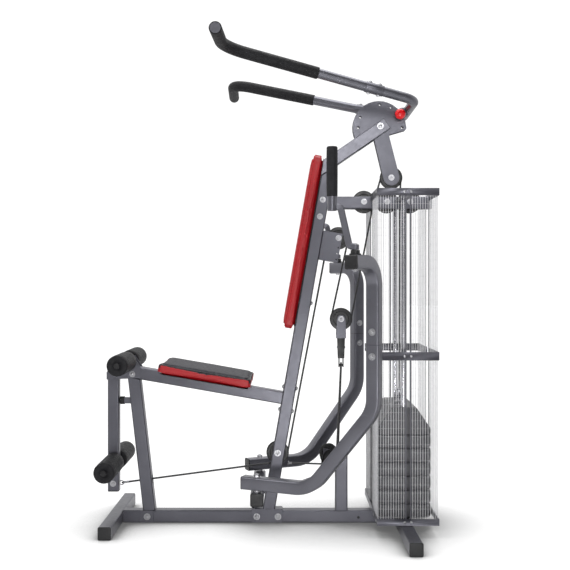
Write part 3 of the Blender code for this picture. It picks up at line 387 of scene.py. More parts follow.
def new_piece(name, bm, look, body, replaced=(), bevel=0.0, angle=35.0, segments=2):
    """Turn a bmesh, drawn in row coordinates, into a named piece that rides on a body."""
    bmesh.ops.remove_doubles(bm, verts=bm.verts[:], dist=2e-6)
    bmesh.ops.recalc_face_normals(bm, faces=bm.faces[:])
    mesh = bpy.data.meshes.new(name)
    bm.to_mesh(mesh)
    bm.free()
    mesh.shade_smooth()
    obj = bpy.data.objects.new(name, mesh)
    bpy.context.scene.collection.objects.link(obj)
    if bevel:
        soften(obj, bevel, segments)
    obj.data.set_sharp_from_angle(angle=math.radians(angle))
    obj.data.materials.clear()
    obj.data.materials.append(LOOK[look])
    if body:
        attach(obj, body)
    if replaced:
        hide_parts(*replaced)
    return obj


def soften(obj, width, segments):
    """Round every hard edge, and keep the result as plain mesh."""
    modifier = obj.modifiers.new("edge_round", "BEVEL")
    modifier.width = width
    modifier.segments = segments
    modifier.limit_method = "ANGLE"
    modifier.angle_limit = math.radians(28)
    modifier.use_clamp_overlap = True
    apply_modifiers(obj)
    for polygon in obj.data.polygons:
        polygon.use_smooth = True
    level = obj.modifiers.new("flat_faces", "WEIGHTED_NORMAL")
    level.mode = "FACE_AREA"
    level.weight = 100
    level.keep_sharp = True
    apply_modifiers(obj)


def apply_modifiers(obj):
    graph = bpy.context.evaluated_depsgraph_get()
    graph.update()
    mesh = bpy.data.meshes.new_from_object(obj.evaluated_get(graph), depsgraph=graph)
    old = obj.data
    obj.modifiers.clear()
    obj.data = mesh
    bpy.data.meshes.remove(old)


def refine(node, look, body, bevel=0.0012, segments=2, angle=35.0):
    """A copy of a CAD node with welded vertices and rounded edges, shown in the node's place."""
    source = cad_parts[node]
    bm = bmesh.new()
    bm.from_mesh(source.data)
    bm.transform(source.matrix_world)
    bmesh.ops.remove_doubles(bm, verts=bm.verts[:], dist=2e-5)
    return new_piece(node + "_finish", bm, look, body, (node,), bevel, angle, segments)


def along_upright(distance, behind):
    return UPRIGHT_BASE + UP * distance + BACK * behind


def heights(node):
    """The lowest and highest level of a CAD node."""
    low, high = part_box(node)
    return low.z, high.z

# ---------------------------------------------------------------- painted frame
for node in ("front_foot", "rear_foot", "base_beam", "front_post", "seat_beam", "main_upright", "top_beam"):
    refine(node, "frame", "frame", 0.0016, 3)
refine("lat_boom", "arm", "frame", 0.0016, 3)
refine("pulley_bracket", "frame", "frame", 0.0005)
for node in ("bottom_rail_frame", "middle_rail_frame", "top_rail_frame"):
    refine(node, "frame", "frame", 0.0007)
refine("leg_lever", "frame", "leg_developer", 0.0015, 3)
refine("lat_sector", "frame", "lat_lever", 0.0008)
fork = refine("floating_fork", "frame", "fork", 0.0008)
fork.data.materials.append(LOOK["black"])
FORK_BLOCK_TOP = FLOATING_PULLEY[1] - 0.0785
for polygon in fork.data.polygons:
    if polygon.center.z < FORK_BLOCK_TOP:
        polygon.material_index = 1
for side in ("near", "far"):
    refine(f"press_handle_{side}", "arm", f"handle_{side}", 0.0012)


def add_square_cap(bm, centre, outward, side, width=TUBE, depth=0.004):
    """A pressed-in plastic plug with a softly domed face."""
    outward = Vector(outward).normalized()
    across = Vector(side).normalized()
    upward = outward.cross(across)
    face = ((0.0, 0.0), (-0.0003, 0.0006), (-0.0003, depth * 0.6), (0.0012, depth * 0.9), (0.005, depth))
    rows = []
    for inset, height in face:
        outline = rounded_rectangle(width - 2 * inset, width - 2 * inset, 0.006 - inset * 0.4)
        rows.append([Vector(centre) + across * x + upward * y + outward * height for x, y in outline])
    add_rings(bm, rows)


def caps(name, ends, body, width=TUBE):
    bm = bmesh.new()
    for centre, outward, side in ends:
        add_square_cap(bm, centre, outward, side, width)
    return new_piece(name, bm, "black", body)


FRONT_FOOT = (-0.615, 0.282)
REAR_FOOT = (0.5355, 0.494)
for name, (x, half) in (("front_foot_caps", FRONT_FOOT), ("rear_foot_caps", REAR_FOOT)):
    caps(name, [((x, sign * half, HALF), (0, sign, 0), X_AXIS) for sign in (-1, 1)], "frame")
CROSS_TUBE = (-0.0405, 0.221, 0.1375)
caps(
    "cross_tube_caps",
    [((CROSS_TUBE[0], sign * CROSS_TUBE[1], CROSS_TUBE[2]), (0, sign, 0), X_AXIS) for sign in (-1, 1)],
    "frame",
)
caps("lever_foot_cap", [((-0.6305, 0.0, 0.129), (0, 0, -1), X_AXIS)], "leg_developer", 0.045)
caps("lever_top_cap", [((-0.6305, 0.0, 0.616), (0, 0, 1), X_AXIS)], "leg_developer", 0.045)
caps("seat_beam_cap", [(SEAT_BEAM_START, -BACK, Y_AXIS)], "frame")


def saddle(name, low_x, high_x, top, bolts):
    """Side plates that strap a post to the base beam, with their bolts."""
    bm = bmesh.new()
    thick = 0.0025
    face = HALF + 0.0002
    outline = rounded_rectangle(high_x - low_x, top - 0.002, 0.006)
    middle = ((low_x + high_x) / 2, (top + 0.002) / 2)
    for sign in (-1, 1):
        rows = []
        for inset, y in ((0.0, face), (0.0, face + thick * 0.7), (0.0008, face + thick)):
            scale_x = 1 - 2 * inset / (high_x - low_x)
            rows.append([(middle[0] + x * scale_x, sign * y, middle[1] + z) for x, z in outline])
        add_rings(bm, rows)
    new_piece(name + "_plates", bm, "frame", "frame")
    bm = bmesh.new()
    for x, z in bolts:
        for sign in (-1, 1):
            add_bolt(bm, (x, sign * (face + thick), z), (0, sign, 0), 0.0095, 0.0075)
    new_piece(name + "_bolts", bm, "bolt", "frame")


bm = bmesh.new()
for sign in (-1, 1):
    plug = [(0.0, 0.0), (0.0055, 0.0), (0.0055, 0.0006), (0.0040, 0.0012), (0.0, 0.0014)]
    add_lathe(bm, plug, (0.3667, sign * HALF, 0.0220), (0, sign, 0), 24)
new_piece("base_beam_plugs", bm, "black", "frame")
saddle("front_post_saddle", -0.5215, -0.4655, 0.0500, [(-0.4915, 0.0250)])
saddle("upright_saddle", -0.0690, 0.0590, 0.0555, [(-0.0460, 0.0250), (0.0400, 0.0250)])


def bolts(name, places, body="frame", radius=0.0085, height=0.006, look="bolt"):
    """Bolt heads at (centre, axis) pairs."""
    bm = bmesh.new()
    for centre, axis in places:
        add_bolt(bm, centre, axis, radius, height)
    return new_piece(name, bm, look, body)


def both_sides(x, z, reach):
    return [((x, sign * reach, z), (0, sign, 0)) for sign in (-1, 1)]


bolts("top_beam_pulley_bolts", [place for x, z in TOP_PULLEYS for place in both_sides(x, z, HALF)])
bolts("bracket_pulley_bolt", both_sides(*BRACKET_PULLEY, 0.0245))
bolts("foot_pulley_bolt", both_sides(*FOOT_PULLEY, HALF), radius=0.0095)
bolts("lat_pivot_bolt", both_sides(*LAT_PIVOT, HALF), radius=0.0095, height=0.007)
bolts("lever_pulley_bolt", both_sides(*LEVER_PULLEY, 0.0165), "lat_lever")
bolts("floating_pulley_bolt", both_sides(*FLOATING_PULLEY, 0.0152), "fork")
fork_nuts = [((FLOATING_PULLEY[0] + way * 0.0105, 0.0, 0.712), (way, 0, 0)) for way in (-1, 1)]
bolts("fork_block_nuts", fork_nuts, "fork", 0.0060, 0.0060)
bolts("leg_pivot_bolt", both_sides(-0.6255, 0.596, 0.0283), radius=0.0085, height=0.006, look="frame")
upright_places = []
for distance in (1.2126, 1.2819):
    point = along_upright(distance, 0.0)
    upright_places += both_sides(point.x, point.z, HALF)
for distance in (0.411, 0.505):
    for way in (-1, 1):
        upright_places.append((along_upright(distance, way * HALF), BACK * way))
upright_places.append((along_upright(0.859, HALF), BACK))
bolts("upright_bolts", upright_places)
bolts("seat_post_bolts", both_sides(-0.5515, 0.6040, 0.0283))


# ---------------------------------------------------------------- rods, stem and pin
def turned(
    name, profile, centre, axis, look, body, replaced=(), count=40, closed=False, bevel=0.0, angle=35.0
):
    """A piece turned about an axis, from an open profile or from the closed one of a ring."""
    bm = bmesh.new()
    add_lathe(bm, profile, centre, axis, count, closed)
    return new_piece(name, bm, look, body, replaced, bevel, angle)

ROD_X = 0.535
ROD_Y = 0.138
for side, sign in SIDES:
    node = f"guide_rod_{side}"
    place = (ROD_X, sign * ROD_Y, 0)
    low, high = heights(node)
    rod = [(0.0, low), (0.0102, low), (0.011, low + 0.001), (0.011, high - 0.001)]
    rod += [(0.0102, high), (0.0, high)]
    turned(node + "_chrome", rod, place, Z_AXIS, "chrome", "frame", (node,))
    ring = [(0.0115, low), (0.0190, low), (0.0200, low + 0.0008), (0.0200, low + 0.0018)]
    ring.append((0.0115, low + 0.0018))
    turned(f"stack_rest_ring_{side}", ring, place, Z_AXIS, "rubber", "frame", closed=True)

stem_low, stem_high = heights("lifting_stem")
HEAD_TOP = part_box("head_plate")[1].z
stem = [
    (0.0, stem_low),
    (0.0120, stem_low),
    (0.0120, HEAD_TOP + 0.012),
    (0.0105, HEAD_TOP + 0.014),
    (0.0105, HEAD_TOP + 0.022),
    (0.0118, HEAD_TOP + 0.024),
    (0.0118, stem_high - 0.010),
    (0.0060, stem_high - 0.002),
    (0.0, stem_high),
]
turned("lifting_stem_chrome", stem, (ROD_X, 0, 0), Z_AXIS, "chrome", "stack_carriage", ("lifting_stem",))
nut = [(0.0125, 0.0), (0.0190, 0.0), (0.0200, 0.001), (0.0200, 0.007), (0.0185, 0.0085), (0.0125, 0.0085)]
nut_seat = (ROD_X, 0, HEAD_TOP + 0.0003)
turned("stem_lock_nut", nut, nut_seat, Z_AXIS, "bolt", "stack_carriage", count=6, closed=True, bevel=0.0006)

pin_low, pin_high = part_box("selector_pin")
pin_z = (pin_low.z + pin_high.z) / 2
pin = [
    (0.0, pin_low.x),
    (0.0030, pin_low.x),
    (0.0044, pin_low.x + 0.003),
    (0.0044, pin_high.x - 0.0165),
    (0.0100, pin_high.x - 0.0165),
    (0.0100, pin_high.x - 0.0150),
]
pin.append((0.0, pin_high.x - 0.0150))
turned("selector_pin_shaft", pin, (0, 0, pin_z), X_AXIS, "chrome", "selector", ("selector_pin",))
knob_end = pin_high.x
head = [
    (0.0, knob_end - 0.0150),
    (0.0115, knob_end - 0.0150),
    (0.0132, knob_end - 0.0130),
    (0.0135, knob_end - 0.0060),
    (0.0128, knob_end - 0.0020),
    (0.0100, knob_end - 0.0003),
    (0.0, knob_end),
]
turned("selector_pin_knob", head, (0, 0, pin_z), X_AXIS, "black", "selector")

AXLES = (("thigh", -0.574, 0.656, "frame"), ("ankle", -0.6245, 0.246, "leg_developer"))
AXLE_HALF = 0.256
for name, x, z, body in AXLES:
    bar = [(0.0, -AXLE_HALF), (0.0100, -AXLE_HALF), (0.0100, AXLE_HALF), (0.0, AXLE_HALF)]
    turned(f"{name}_axle_bar", bar, (x, 0, z), Y_AXIS, "chrome", body, (f"{name}_axle",))
    plug = [(0.0, -0.003), (0.0104, -0.003), (0.0108, -0.0022), (0.0108, 0.0008)]
    plug += [(0.0094, 0.0020), (0.0, 0.0026)]
    bm = bmesh.new()
    for sign in (-1, 1):
        add_lathe(bm, plug, (x, sign * AXLE_HALF, z), (0, sign, 0), 32)
    new_piece(f"{name}_axle_caps", bm, "rubber", body)

# ---------------------------------------------------------------- weight stack
def plate_mesh(bm, outline, rim, holes):
    """A plate with a shaped rim. rim is (inset, level) from bottom to top; holes are bored upright."""
    centre = (ROD_X, 0.0)
    reach_x = max(abs(x - centre[0]) for x, _ in outline)
    reach_y = max(abs(y) for _, y in outline)
    rows = []
    for inset, level in rim:
        fx = 1 - inset / reach_x
        fy = 1 - inset / reach_y
        rows.append([bm.verts.new((centre[0] + (x - centre[0]) * fx, y * fy, level)) for x, y in outline])
    for first, second in zip(rows[:-1], rows[1:]):
        for i in range(len(outline)):
            j = (i + 1) % len(outline)
            bm.faces.new((first[i], first[j], second[j], second[i]))
    bores = []
    for hole in holes:
        bottom = [bm.verts.new((x, y, rim[0][1])) for x, y in hole]
        top = [bm.verts.new((x, y, rim[-1][1])) for x, y in hole]
        bores.append((bottom, top))
        for i in range(len(hole)):
            j = (i + 1) % len(hole)
            bm.faces.new((bottom[i], bottom[j], top[j], top[i]))
    for end, outer in ((0, rows[0]), (1, rows[-1])):
        edges = set()
        for loop in [outer, *[bore[end] for bore in bores]]:
            for i, vert in enumerate(loop):
                edges.add(bm.edges.get((vert, loop[(i + 1) % len(loop)])))
        bmesh.ops.triangle_fill(bm, use_beauty=True, use_dissolve=False, edges=list(edges))


PLATE_OUTLINE = [(ROD_X + x, y) for x, y in rounded_rectangle(0.220, 0.326, 0.034, 8)]
PLATE_HOLES = [circle((ROD_X, 0.0), 0.0127, 24)] + [circle((ROD_X, y), 0.0122, 24) for y in (-ROD_Y, ROD_Y)]
# Half of a plate's rim, as (share of the thickness, inset).
PLATE_RIM = ((0.0, 0.0085), (0.03, 0.0052), (0.08, 0.0030), (0.18, 0.0012), (0.34, 0.0003), (0.50, 0.0))
for number in range(1, 7):
    node = f"weight_plate_{number}"
    low, high = heights(node)
    rim = [(inset, low + (high - low) * part) for part, inset in PLATE_RIM]
    rim += [(inset, high - (level - low)) for inset, level in rim[-2::-1]]
    bm = bmesh.new()
    plate_mesh(bm, PLATE_OUTLINE, rim, PLATE_HOLES)
    body = "stack_carriage" if number <= 3 else "frame"
    new_piece(node + "_shell", bm, "plate", body, (node,), angle=50.0)
refine("head_plate", "plate", "stack_carriage", 0.0045, 3, 50.0)


# ---------------------------------------------------------------- stack housing
RAIL_FRONT, RAIL_REAR = 0.418, 0.6555
SHEET_Y = 0.2630
SHEET_MIDDLE = 0.037
SHEET_SLOT = (0.5301, 0.5445)
SHEET_BEND = 0.006
WIRE_PITCH = 0.0095
sheet_low, sheet_high = heights("mesh_sheet_front_near")


def add_strip(bm, start, end, low, high, thick):
    """A flat upright strip between two plan points."""
    start, end = Vector((*start, 0.0)), Vector((*end, 0.0))
    out = (end - start).normalized().cross(Z_AXIS) * (thick / 2)
    rows = []
    for level in (low, high):
        rows.append([corner + Z_AXIS * level for corner in (start - out, end - out, end + out, start + out)])
    add_rings(bm, rows)


def mesh_sheet(end, side):
    """One corner of the housing: fine upright wires on cross wires, and two turned edges."""
    sign = -1 if side == "near" else 1
    front = end == "front"
    face = RAIL_FRONT + 0.0042 if front else RAIL_REAR - 0.0042
    slot = SHEET_SLOT[0] if front else SHEET_SLOT[1]
    inward = 1 if front else -1
    edge = sign * SHEET_Y
    inner = sign * SHEET_MIDDLE
    line = rounded([(face, inner, 0.0), (face, edge, 0.0), (slot, edge, 0.0)], SHEET_BEND, 4)
    node = f"mesh_sheet_{end}_{side}"
    bm = bmesh.new()
    lengths = [(b - a).length for a, b in zip(line[:-1], line[1:])]
    total = sum(lengths)
    count = int(total / WIRE_PITCH)
    wire = rounded_rectangle(0.0014, 0.0007, 0.0002, 1)
    for number in range(1, count):
        remaining = total * number / count
        for a, b, length in zip(line[:-1], line[1:], lengths):
            if remaining <= length:
                break
            remaining -= length
        point = a.lerp(b, remaining / length)
        add_sweep(bm, [point + Z_AXIS * sheet_low, point + Z_AXIS * sheet_high], wire, (b - a).normalized())
    cross = rounded_rectangle(0.0004, 0.0004, 0.0001, 1)
    step = 0.0300
    rows = int((sheet_high - sheet_low) / step)
    for number in range(1, rows):
        level = sheet_low + (sheet_high - sheet_low) * number / rows
        add_sweep(bm, [point + Z_AXIS * level for point in line], cross, Z_AXIS)
    new_piece(node + "_wires", bm, "mesh", "frame", (node,))
    fold = edge + sign * 0.0004
    strips = (
        ((slot, edge), (slot, edge - sign * 0.0068), 0.0011),
        ((slot - inward * 0.0045, fold), (slot, fold), 0.0009),
        ((face, inner), (face + inward * 0.0020, inner), 0.0011),
        ((face, inner), (face, inner + sign * 0.006), 0.0009),
    )
    bm = bmesh.new()
    for start, finish, thick in strips:
        add_strip(bm, start, finish, sheet_low, sheet_high, thick)
    new_piece(node + "_edges", bm, "dark", "frame")


for end in ("front", "rear"):
    for side in ("near", "far"):
        mesh_sheet(end, side)

screws = []
for node in ("bottom_rail_frame", "middle_rail_frame", "top_rail_frame"):
    low, high = heights(node)
    level = (low + high) / 2
    for sign in (-1, 1):
        for x in (0.5235, 0.5485):
            screws.append(((x, sign * 0.267, level), (0, sign, 0)))
        for y in (0.047, 0.140, 0.235):
            screws.append(((RAIL_FRONT, sign * y, level), (-1, 0, 0)))
            screws.append(((RAIL_REAR, sign * y, level), (1, 0, 0)))
bm = bmesh.new()
for centre, axis in screws:
    dome = [(0.0, 0.0), (0.0052, 0.0), (0.0052, 0.0006), (0.0042, 0.0018), (0.0022, 0.0026), (0.0, 0.0028)]
    add_lathe(bm, dome, centre, axis, 16)
new_piece("housing_screws", bm, "bolt", "frame")


# ---------------------------------------------------------------- pulleys
PULLEY_RADIUS = 0.046
PULLEY_GROOVE = 0.0365
GROOVE_FLOOR = 0.0357


def pulley(node, body, centre, axis):
    """A grooved nylon wheel with a dished web, raised rim and a pressed bearing."""
    half = 0.0090
    side_line = [
        (0.0125, half * 0.60),
        (0.0135, half * 0.86),
        (0.0165, half * 0.86),
        (0.0180, half * 0.52),
        (0.0300, half * 0.52),
        (0.0325, half * 0.90),
        (PULLEY_RADIUS - 0.0030, half * 0.93),
        (PULLEY_RADIUS - 0.0008, half * 0.86),
        (PULLEY_RADIUS, half * 0.76),
        (PULLEY_RADIUS - 0.0008, half * 0.66),
        (PULLEY_GROOVE + 0.0018, half * 0.46),
        (GROOVE_FLOOR, half * 0.28),
    ]
    profile = side_line + [(radius, -height) for radius, height in reversed(side_line)]
    turned(node + "_wheel", profile, centre, axis, "pulley", body, (node,), 56, True, angle=32.0)
    bearing = [(0.0050, -half), (0.0110, -half), (0.0126, -half * 0.85)]
    bearing += [(radius, -height) for radius, height in reversed(bearing)]
    turned(node + "_bearing", bearing, centre, axis, "bolt", body, count=32, closed=True)


def at(place):
    return (place[0], 0.0, place[1])


LOW_PULLEY = Vector((0.2516, 0.0725, 0.260))
ARM_EYE = Vector((0.0835, 0.224, 0.195))
AWAY = Vector((ARM_EYE.x - LOW_PULLEY.x, ARM_EYE.y - LOW_PULLEY.y, 0.0)).normalized()
LOW_AXLE = Vector((AWAY.y, -AWAY.x, 0.0))
for node, body, centre in (
    ("top_pulley_front", "wheel_top_front", at(TOP_PULLEYS[0])),
    ("top_pulley_middle", "wheel_top_middle", at(TOP_PULLEYS[1])),
    ("top_pulley_rear", "wheel_top_rear", at(TOP_PULLEYS[2])),
    ("lever_pulley", "wheel_lever", at(LEVER_PULLEY)),
    ("bracket_pulley", "wheel_bracket", at(BRACKET_PULLEY)),
    ("floating_pulley", "wheel_floating", at(FLOATING_PULLEY)),
    ("foot_pulley", "wheel_foot", at(FOOT_PULLEY)),
):
    pulley(node, body, centre, Y_AXIS)
low_bolts = []
for side, sign in SIDES:
    centre = Vector((LOW_PULLEY.x, sign * LOW_PULLEY.y, LOW_PULLEY.z))
    axle = Vector((LOW_AXLE.x, sign * LOW_AXLE.y, 0.0))
    pulley(f"low_pulley_{side}", f"wheel_low_{side}", centre, axle)
    low_bolts.append((centre + axle * 0.0102, axle))
    low_bolts.append((centre - axle * 0.0162, -axle))
bolts("low_pulley_bolts", low_bolts)


# ---------------------------------------------------------------- press arms
ARM_PIVOT = Vector((-0.0405, 0.200, 0.198))
ARM_TOE = math.radians(25.0)
ARM_REACH = 0.480
ARM_TOP_Z = 1.0457
ARM_OUT = Vector((math.cos(ARM_TOE), math.sin(ARM_TOE), 0.0))


def arm_point(reach, z):
    return Vector((ARM_PIVOT.x, ARM_PIVOT.y, z)) + ARM_OUT * reach


def arm_line():
    low_corner = 0.229
    high_z = ARM_PIVOT.z + (ARM_REACH - low_corner) * 1.233
    lower = [arm_point(-0.056, ARM_PIVOT.z), arm_point(low_corner, ARM_PIVOT.z)]
    lower += [arm_point(ARM_REACH, high_z), arm_point(ARM_REACH, 0.72)]
    outward = Vector((-0.5145, 0.8575, 0.0)).normalized()
    top = arm_point(ARM_REACH, ARM_TOP_Z)
    upper = [arm_point(ARM_REACH, 0.72), top, top + outward * 0.185]
    return rounded(lower, 0.13, 14)[:-1] + rounded(upper, 0.085, 14)


def flipped(point, sign):
    return Vector((point.x, sign * point.y, point.z))


ARM_LINE = arm_line()
ARM_SIDE = Vector((-math.sin(ARM_TOE), math.cos(ARM_TOE), 0.0))
ARM_END = ARM_LINE[-1]
ARM_END_WAY = (ARM_LINE[-1] - ARM_LINE[-2]).normalized()
SWIVEL = ARM_END - ARM_END_WAY * 0.030
SEAM_Z = 0.748
SEAM_BOLTS_Z = (0.7055, 0.7950)

def press_arm(side, sign):
    """One bent arm with its end caps. Its two halves meet in a seam between two pairs of bolts."""
    arm = f"arm_{side}"
    across = flipped(ARM_SIDE, sign)
    bm = bmesh.new()
    add_sweep(bm, [flipped(p, sign) for p in ARM_LINE], rounded_rectangle(TUBE, TUBE, 0.0075, 4), across)
    new_piece(f"press_{arm}_tube", bm, "arm", arm, (f"press_{arm}",), angle=30.0)
    ends = [
        (flipped(ARM_LINE[0], sign), flipped(-ARM_OUT, sign), Z_AXIS),
        (flipped(ARM_END, sign), flipped(ARM_END_WAY, sign), Z_AXIS),
    ]
    caps(f"press_{arm}_caps", ends, arm)
    seam = flipped(arm_point(ARM_REACH, SEAM_Z), sign)
    band = rounded_rectangle(TUBE + 0.0008, TUBE + 0.0008, 0.0078, 4)
    bm = bmesh.new()
    add_sweep(bm, [seam - Z_AXIS * 0.0006, seam + Z_AXIS * 0.0006], band, across)
    new_piece(f"press_{arm}_seam", bm, "black", arm)
    places = []
    for z in SEAM_BOLTS_Z:
        for way in (-1, 1):
            normal = across * way
            places.append((flipped(arm_point(ARM_REACH, z), sign) + normal * HALF, normal))
    bolts(f"press_{arm}_bolts", places, arm, 0.0092, 0.0068)

def arm_pivot(side, sign):
    """A spacer on the cross tube under the arm, and a tall domed nut above it."""
    pivot = flipped(ARM_PIVOT, sign)
    low = CROSS_TUBE[2] + HALF
    high = pivot.z - HALF - 0.0008
    spacer = [(0.0, low), (0.0150, low), (0.0155, low + 0.0008), (0.0155, low + 0.0040)]
    spacer += [(0.0125, low + 0.0046), (0.0125, high), (0.0, high)]
    turned(f"arm_pivot_spacer_{side}", spacer, (pivot.x, pivot.y, 0), Z_AXIS, "bolt", "frame", count=32)
    nut = ((pivot.x, pivot.y, pivot.z + HALF), (0, 0, 1))
    bolts(f"arm_pivot_nut_{side}", [nut], f"arm_{side}", 0.0115, 0.0110)

def cable_eye(side, sign):
    """The eye bolt on the arm's inner side that holds the cable's end."""
    eye = flipped(ARM_EYE, sign)
    inner = flipped(ARM_SIDE, sign) * -1
    wall = (eye - flipped(ARM_PIVOT, sign)).dot(inner) - HALF
    reach = max(wall - 0.006, 0.001)
    bm = bmesh.new()
    add_eye(bm, eye - inner * 0.001, inner, Z_AXIS, 0.0075, 0.0018)
    shank = [(0.0, -0.002), (0.0024, -0.002), (0.0024, reach), (0.0, reach)]
    add_lathe(bm, shank, eye - inner * (wall + 0.001), inner, 12)
    new_piece(f"arm_cable_eye_{side}", bm, "bolt", f"arm_{side}")

def handle_mount(side, sign):
    """The collar under the handle's boss, the bolt's head above it and its nut below the arm."""
    arm = f"arm_{side}"
    swivel = flipped(SWIVEL, sign)
    base = ARM_TOP_Z + HALF
    collar = [(0.0, base), (0.0205, base), (0.0215, base + 0.0010), (0.0215, base + 0.0050)]
    collar += [(0.0170, base + 0.0062), (0.0165, base + 0.0178), (0.0, base + 0.0178)]
    turned(f"handle_collar_{side}", collar, (swivel.x, swivel.y, 0), Z_AXIS, "black", arm, count=36)
    boss_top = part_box(f"press_handle_{side}")[0].z + 0.018
    head = ((swivel.x, swivel.y, boss_top), (0, 0, 1))
    nut = ((swivel.x, swivel.y, ARM_TOP_Z - HALF), (0, 0, -1))
    bolts(f"handle_bolt_{side}", [head], f"handle_{side}", 0.0085, 0.0065)
    bolts(f"handle_nut_{side}", [nut], arm, 0.0085, 0.0065)

def press_grip(side):
    """Foam sleeve on the upright handle tube, slightly fuller at its middle."""
    node = f"press_grip_{side}"
    low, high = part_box(node)
    profile = [
        (0.0, low.z),
        (0.0182, low.z),
        (0.0195, low.z + 0.0016),
        (0.0198, low.z + 0.0300),
        (0.0201, (low.z + high.z) / 2),
        (0.0198, high.z - 0.0300),
        (0.0195, high.z - 0.0048),
        (0.0184, high.z - 0.0016),
        (0.0160, high.z - 0.0002),
        (0.0, high.z),
    ]
    middle = ((low.x + high.x) / 2, (low.y + high.y) / 2, 0)
    piece = turned(node + "_foam", profile, middle, Z_AXIS, "foam", f"handle_{side}", (node,), 48)

for side, sign in SIDES:
    press_arm(side, sign)
    arm_pivot(side, sign)
    cable_eye(side, sign)
    handle_mount(side, sign)
    press_grip(side)

# ---------------------------------------------------------------- lat station
LAT_CROSSBAR = (0.5735, 1.6830)
LAT_SLOPE = math.radians(13.35)
LAT_LEG_Y = 0.190
LAT_LEG_SPLAY = 0.175
LAT_REAR_BEND = 0.055
LAT_TIP_BEND = 0.105
LAT_CORNER_X = -0.1640
LAT_TIP_Y = 0.597
LAT_BAR_RADIUS = 0.019
LAT_GRIP_RADIUS = 0.023
LAT_GRIP_END_X = 0.195
LAT_SLEEVE_X = 0.412


def lat_leg_point(x):
    """Centre of the far leg of the lat bar. The legs rise and spread towards the tips."""
    along = LAT_CROSSBAR[0] - x
    return Vector((x, LAT_LEG_Y + LAT_LEG_SPLAY * along, LAT_CROSSBAR[1] + along * math.tan(LAT_SLOPE)))


def lat_half_path():
    """Centre line of the far half of the lat bar, from its middle to the outward tip."""
    rear_corner = lat_leg_point(LAT_CROSSBAR[0])
    tip_corner = lat_leg_point(LAT_CORNER_X)
    tip = Vector((LAT_CORNER_X - 0.008, LAT_TIP_Y, tip_corner.z - 0.006))
    halfway = rear_corner.lerp(tip_corner, 0.5)
    rear = rounded([at(LAT_CROSSBAR), rear_corner, halfway], LAT_REAR_BEND, 12)
    return rear[:-1] + rounded([halfway, tip_corner, tip], LAT_TIP_BEND, 16)[1:]


LAT_HALF = lat_half_path()
LAT_PATH = [flipped(point, -1) for point in LAT_HALF[:0:-1]] + LAT_HALF[1:]

def lat_bar():
    """The bent bar in one sweep, with the tab that joins it to the pivot."""
    bm = bmesh.new()
    add_sweep(bm, LAT_PATH, circle((0, 0), LAT_BAR_RADIUS, 36), Z_AXIS)
    pivot = Vector(at(LAT_PIVOT))
    toward = (Vector(at(LAT_CROSSBAR)) - pivot).normalized()
    rise = Vector((-toward.z, 0.0, toward.x))
    outline = circle((0, 0), 0.022, 11, math.pi / 2, math.pi * 1.5)
    outline += [(0.112, -0.022), (0.127, -0.014), (0.127, 0.014), (0.112, 0.022)]
    tab = [pivot + toward * u + rise * v for u, v in outline]
    add_rings(bm, [[point + Y_AXIS * y for point in tab] for y in (-0.0113, 0.0113)])
    new_piece("lat_bar_tube", bm, "arm", "lat_lever", ("lat_bar",), angle=32.0)

def lat_grip(side, sign):
    """Foam round one bend of the bar, out to its tip. Extra rings near both ends round it over."""
    line = [lat_leg_point(LAT_GRIP_END_X)] + [point for point in LAT_HALF if point.x < LAT_GRIP_END_X]
    first_way = (line[1] - line[0]).normalized()
    last_way = (line[-1] - line[-2]).normalized()
    tip = line[-1] - last_way * 0.0005
    start = [line[0] + first_way * reach for reach in (0.0, 0.0012, 0.004)]
    finish = [tip - last_way * reach for reach in (0.004, 0.0012, 0.0)]
    path = [flipped(point, sign) for point in start + line[1:-1] + finish]
    scales = [0.93, 0.98, 1.0] + [1.0] * (len(path) - 6) + [1.0, 0.97, 0.90]
    bm = bmesh.new()
    add_sweep(bm, path, circle((0, 0), LAT_GRIP_RADIUS, 40), Z_AXIS, scales)
    grip = new_piece(f"lat_grip_{side}_foam", bm, "foam", "lat_lever", (f"lat_grip_{side}",), angle=50.0)

def lat_sleeve(side, sign):
    """Sleeve that joins the two lengths of bar, with its pairs of bolts."""
    middle = flipped(lat_leg_point(LAT_SLEEVE_X), sign)
    slope = (flipped(lat_leg_point(0.0), sign) - middle).normalized()
    path = [middle + slope * reach for reach in (-0.036, -0.0345, 0.0345, 0.036)]
    bm = bmesh.new()
    add_sweep(bm, path, circle((0, 0), LAT_BAR_RADIUS + 0.0018, 36), Z_AXIS, (0.97, 1.0, 1.0, 0.97))
    new_piece(f"lat_sleeve_{side}", bm, "frame", "lat_lever", angle=32.0)
    over = Y_AXIS.cross(slope).normalized()
    places = []
    for reach in (-0.020, 0.020):
        for way in (-1, 1):
            face = over * (way * (LAT_BAR_RADIUS + 0.0010))
            places.append((middle + slope * reach + face, over * way))
    bolts(f"lat_sleeve_bolts_{side}", places, "lat_lever", 0.0062, 0.0052)

lat_bar()
for side, sign in SIDES:
    lat_grip(side, sign)
    lat_sleeve(side, sign)

LAT_PIN = (0.5340, 1.6568)
knob = [
    (0.0, 0.0040),
    (0.0036, 0.0040),
    (0.0044, 0.0052),
    (0.0044, 0.0200),
    (0.0098, 0.0200),
    (0.0100, 0.0290),
    (0.0118, 0.0302),
    (0.0150, 0.0322),
    (0.0196, 0.0368),
    (0.0211, 0.0430),
    (0.0211, 0.0490),
    (0.0202, 0.0545),
    (0.0176, 0.0592),
    (0.0120, 0.0630),
    (0.0050, 0.0643),
    (0.0, 0.0645),
]
turned("lat_pull_knob", knob[7:], at(LAT_PIN), (0, -1, 0), "knob", "lat_pin", ("lat_pull_pin",), 48)
turned("lat_pull_shank", [*knob[:8], (0.0, 0.0325)], at(LAT_PIN), (0, -1, 0), "chrome", "lat_pin")


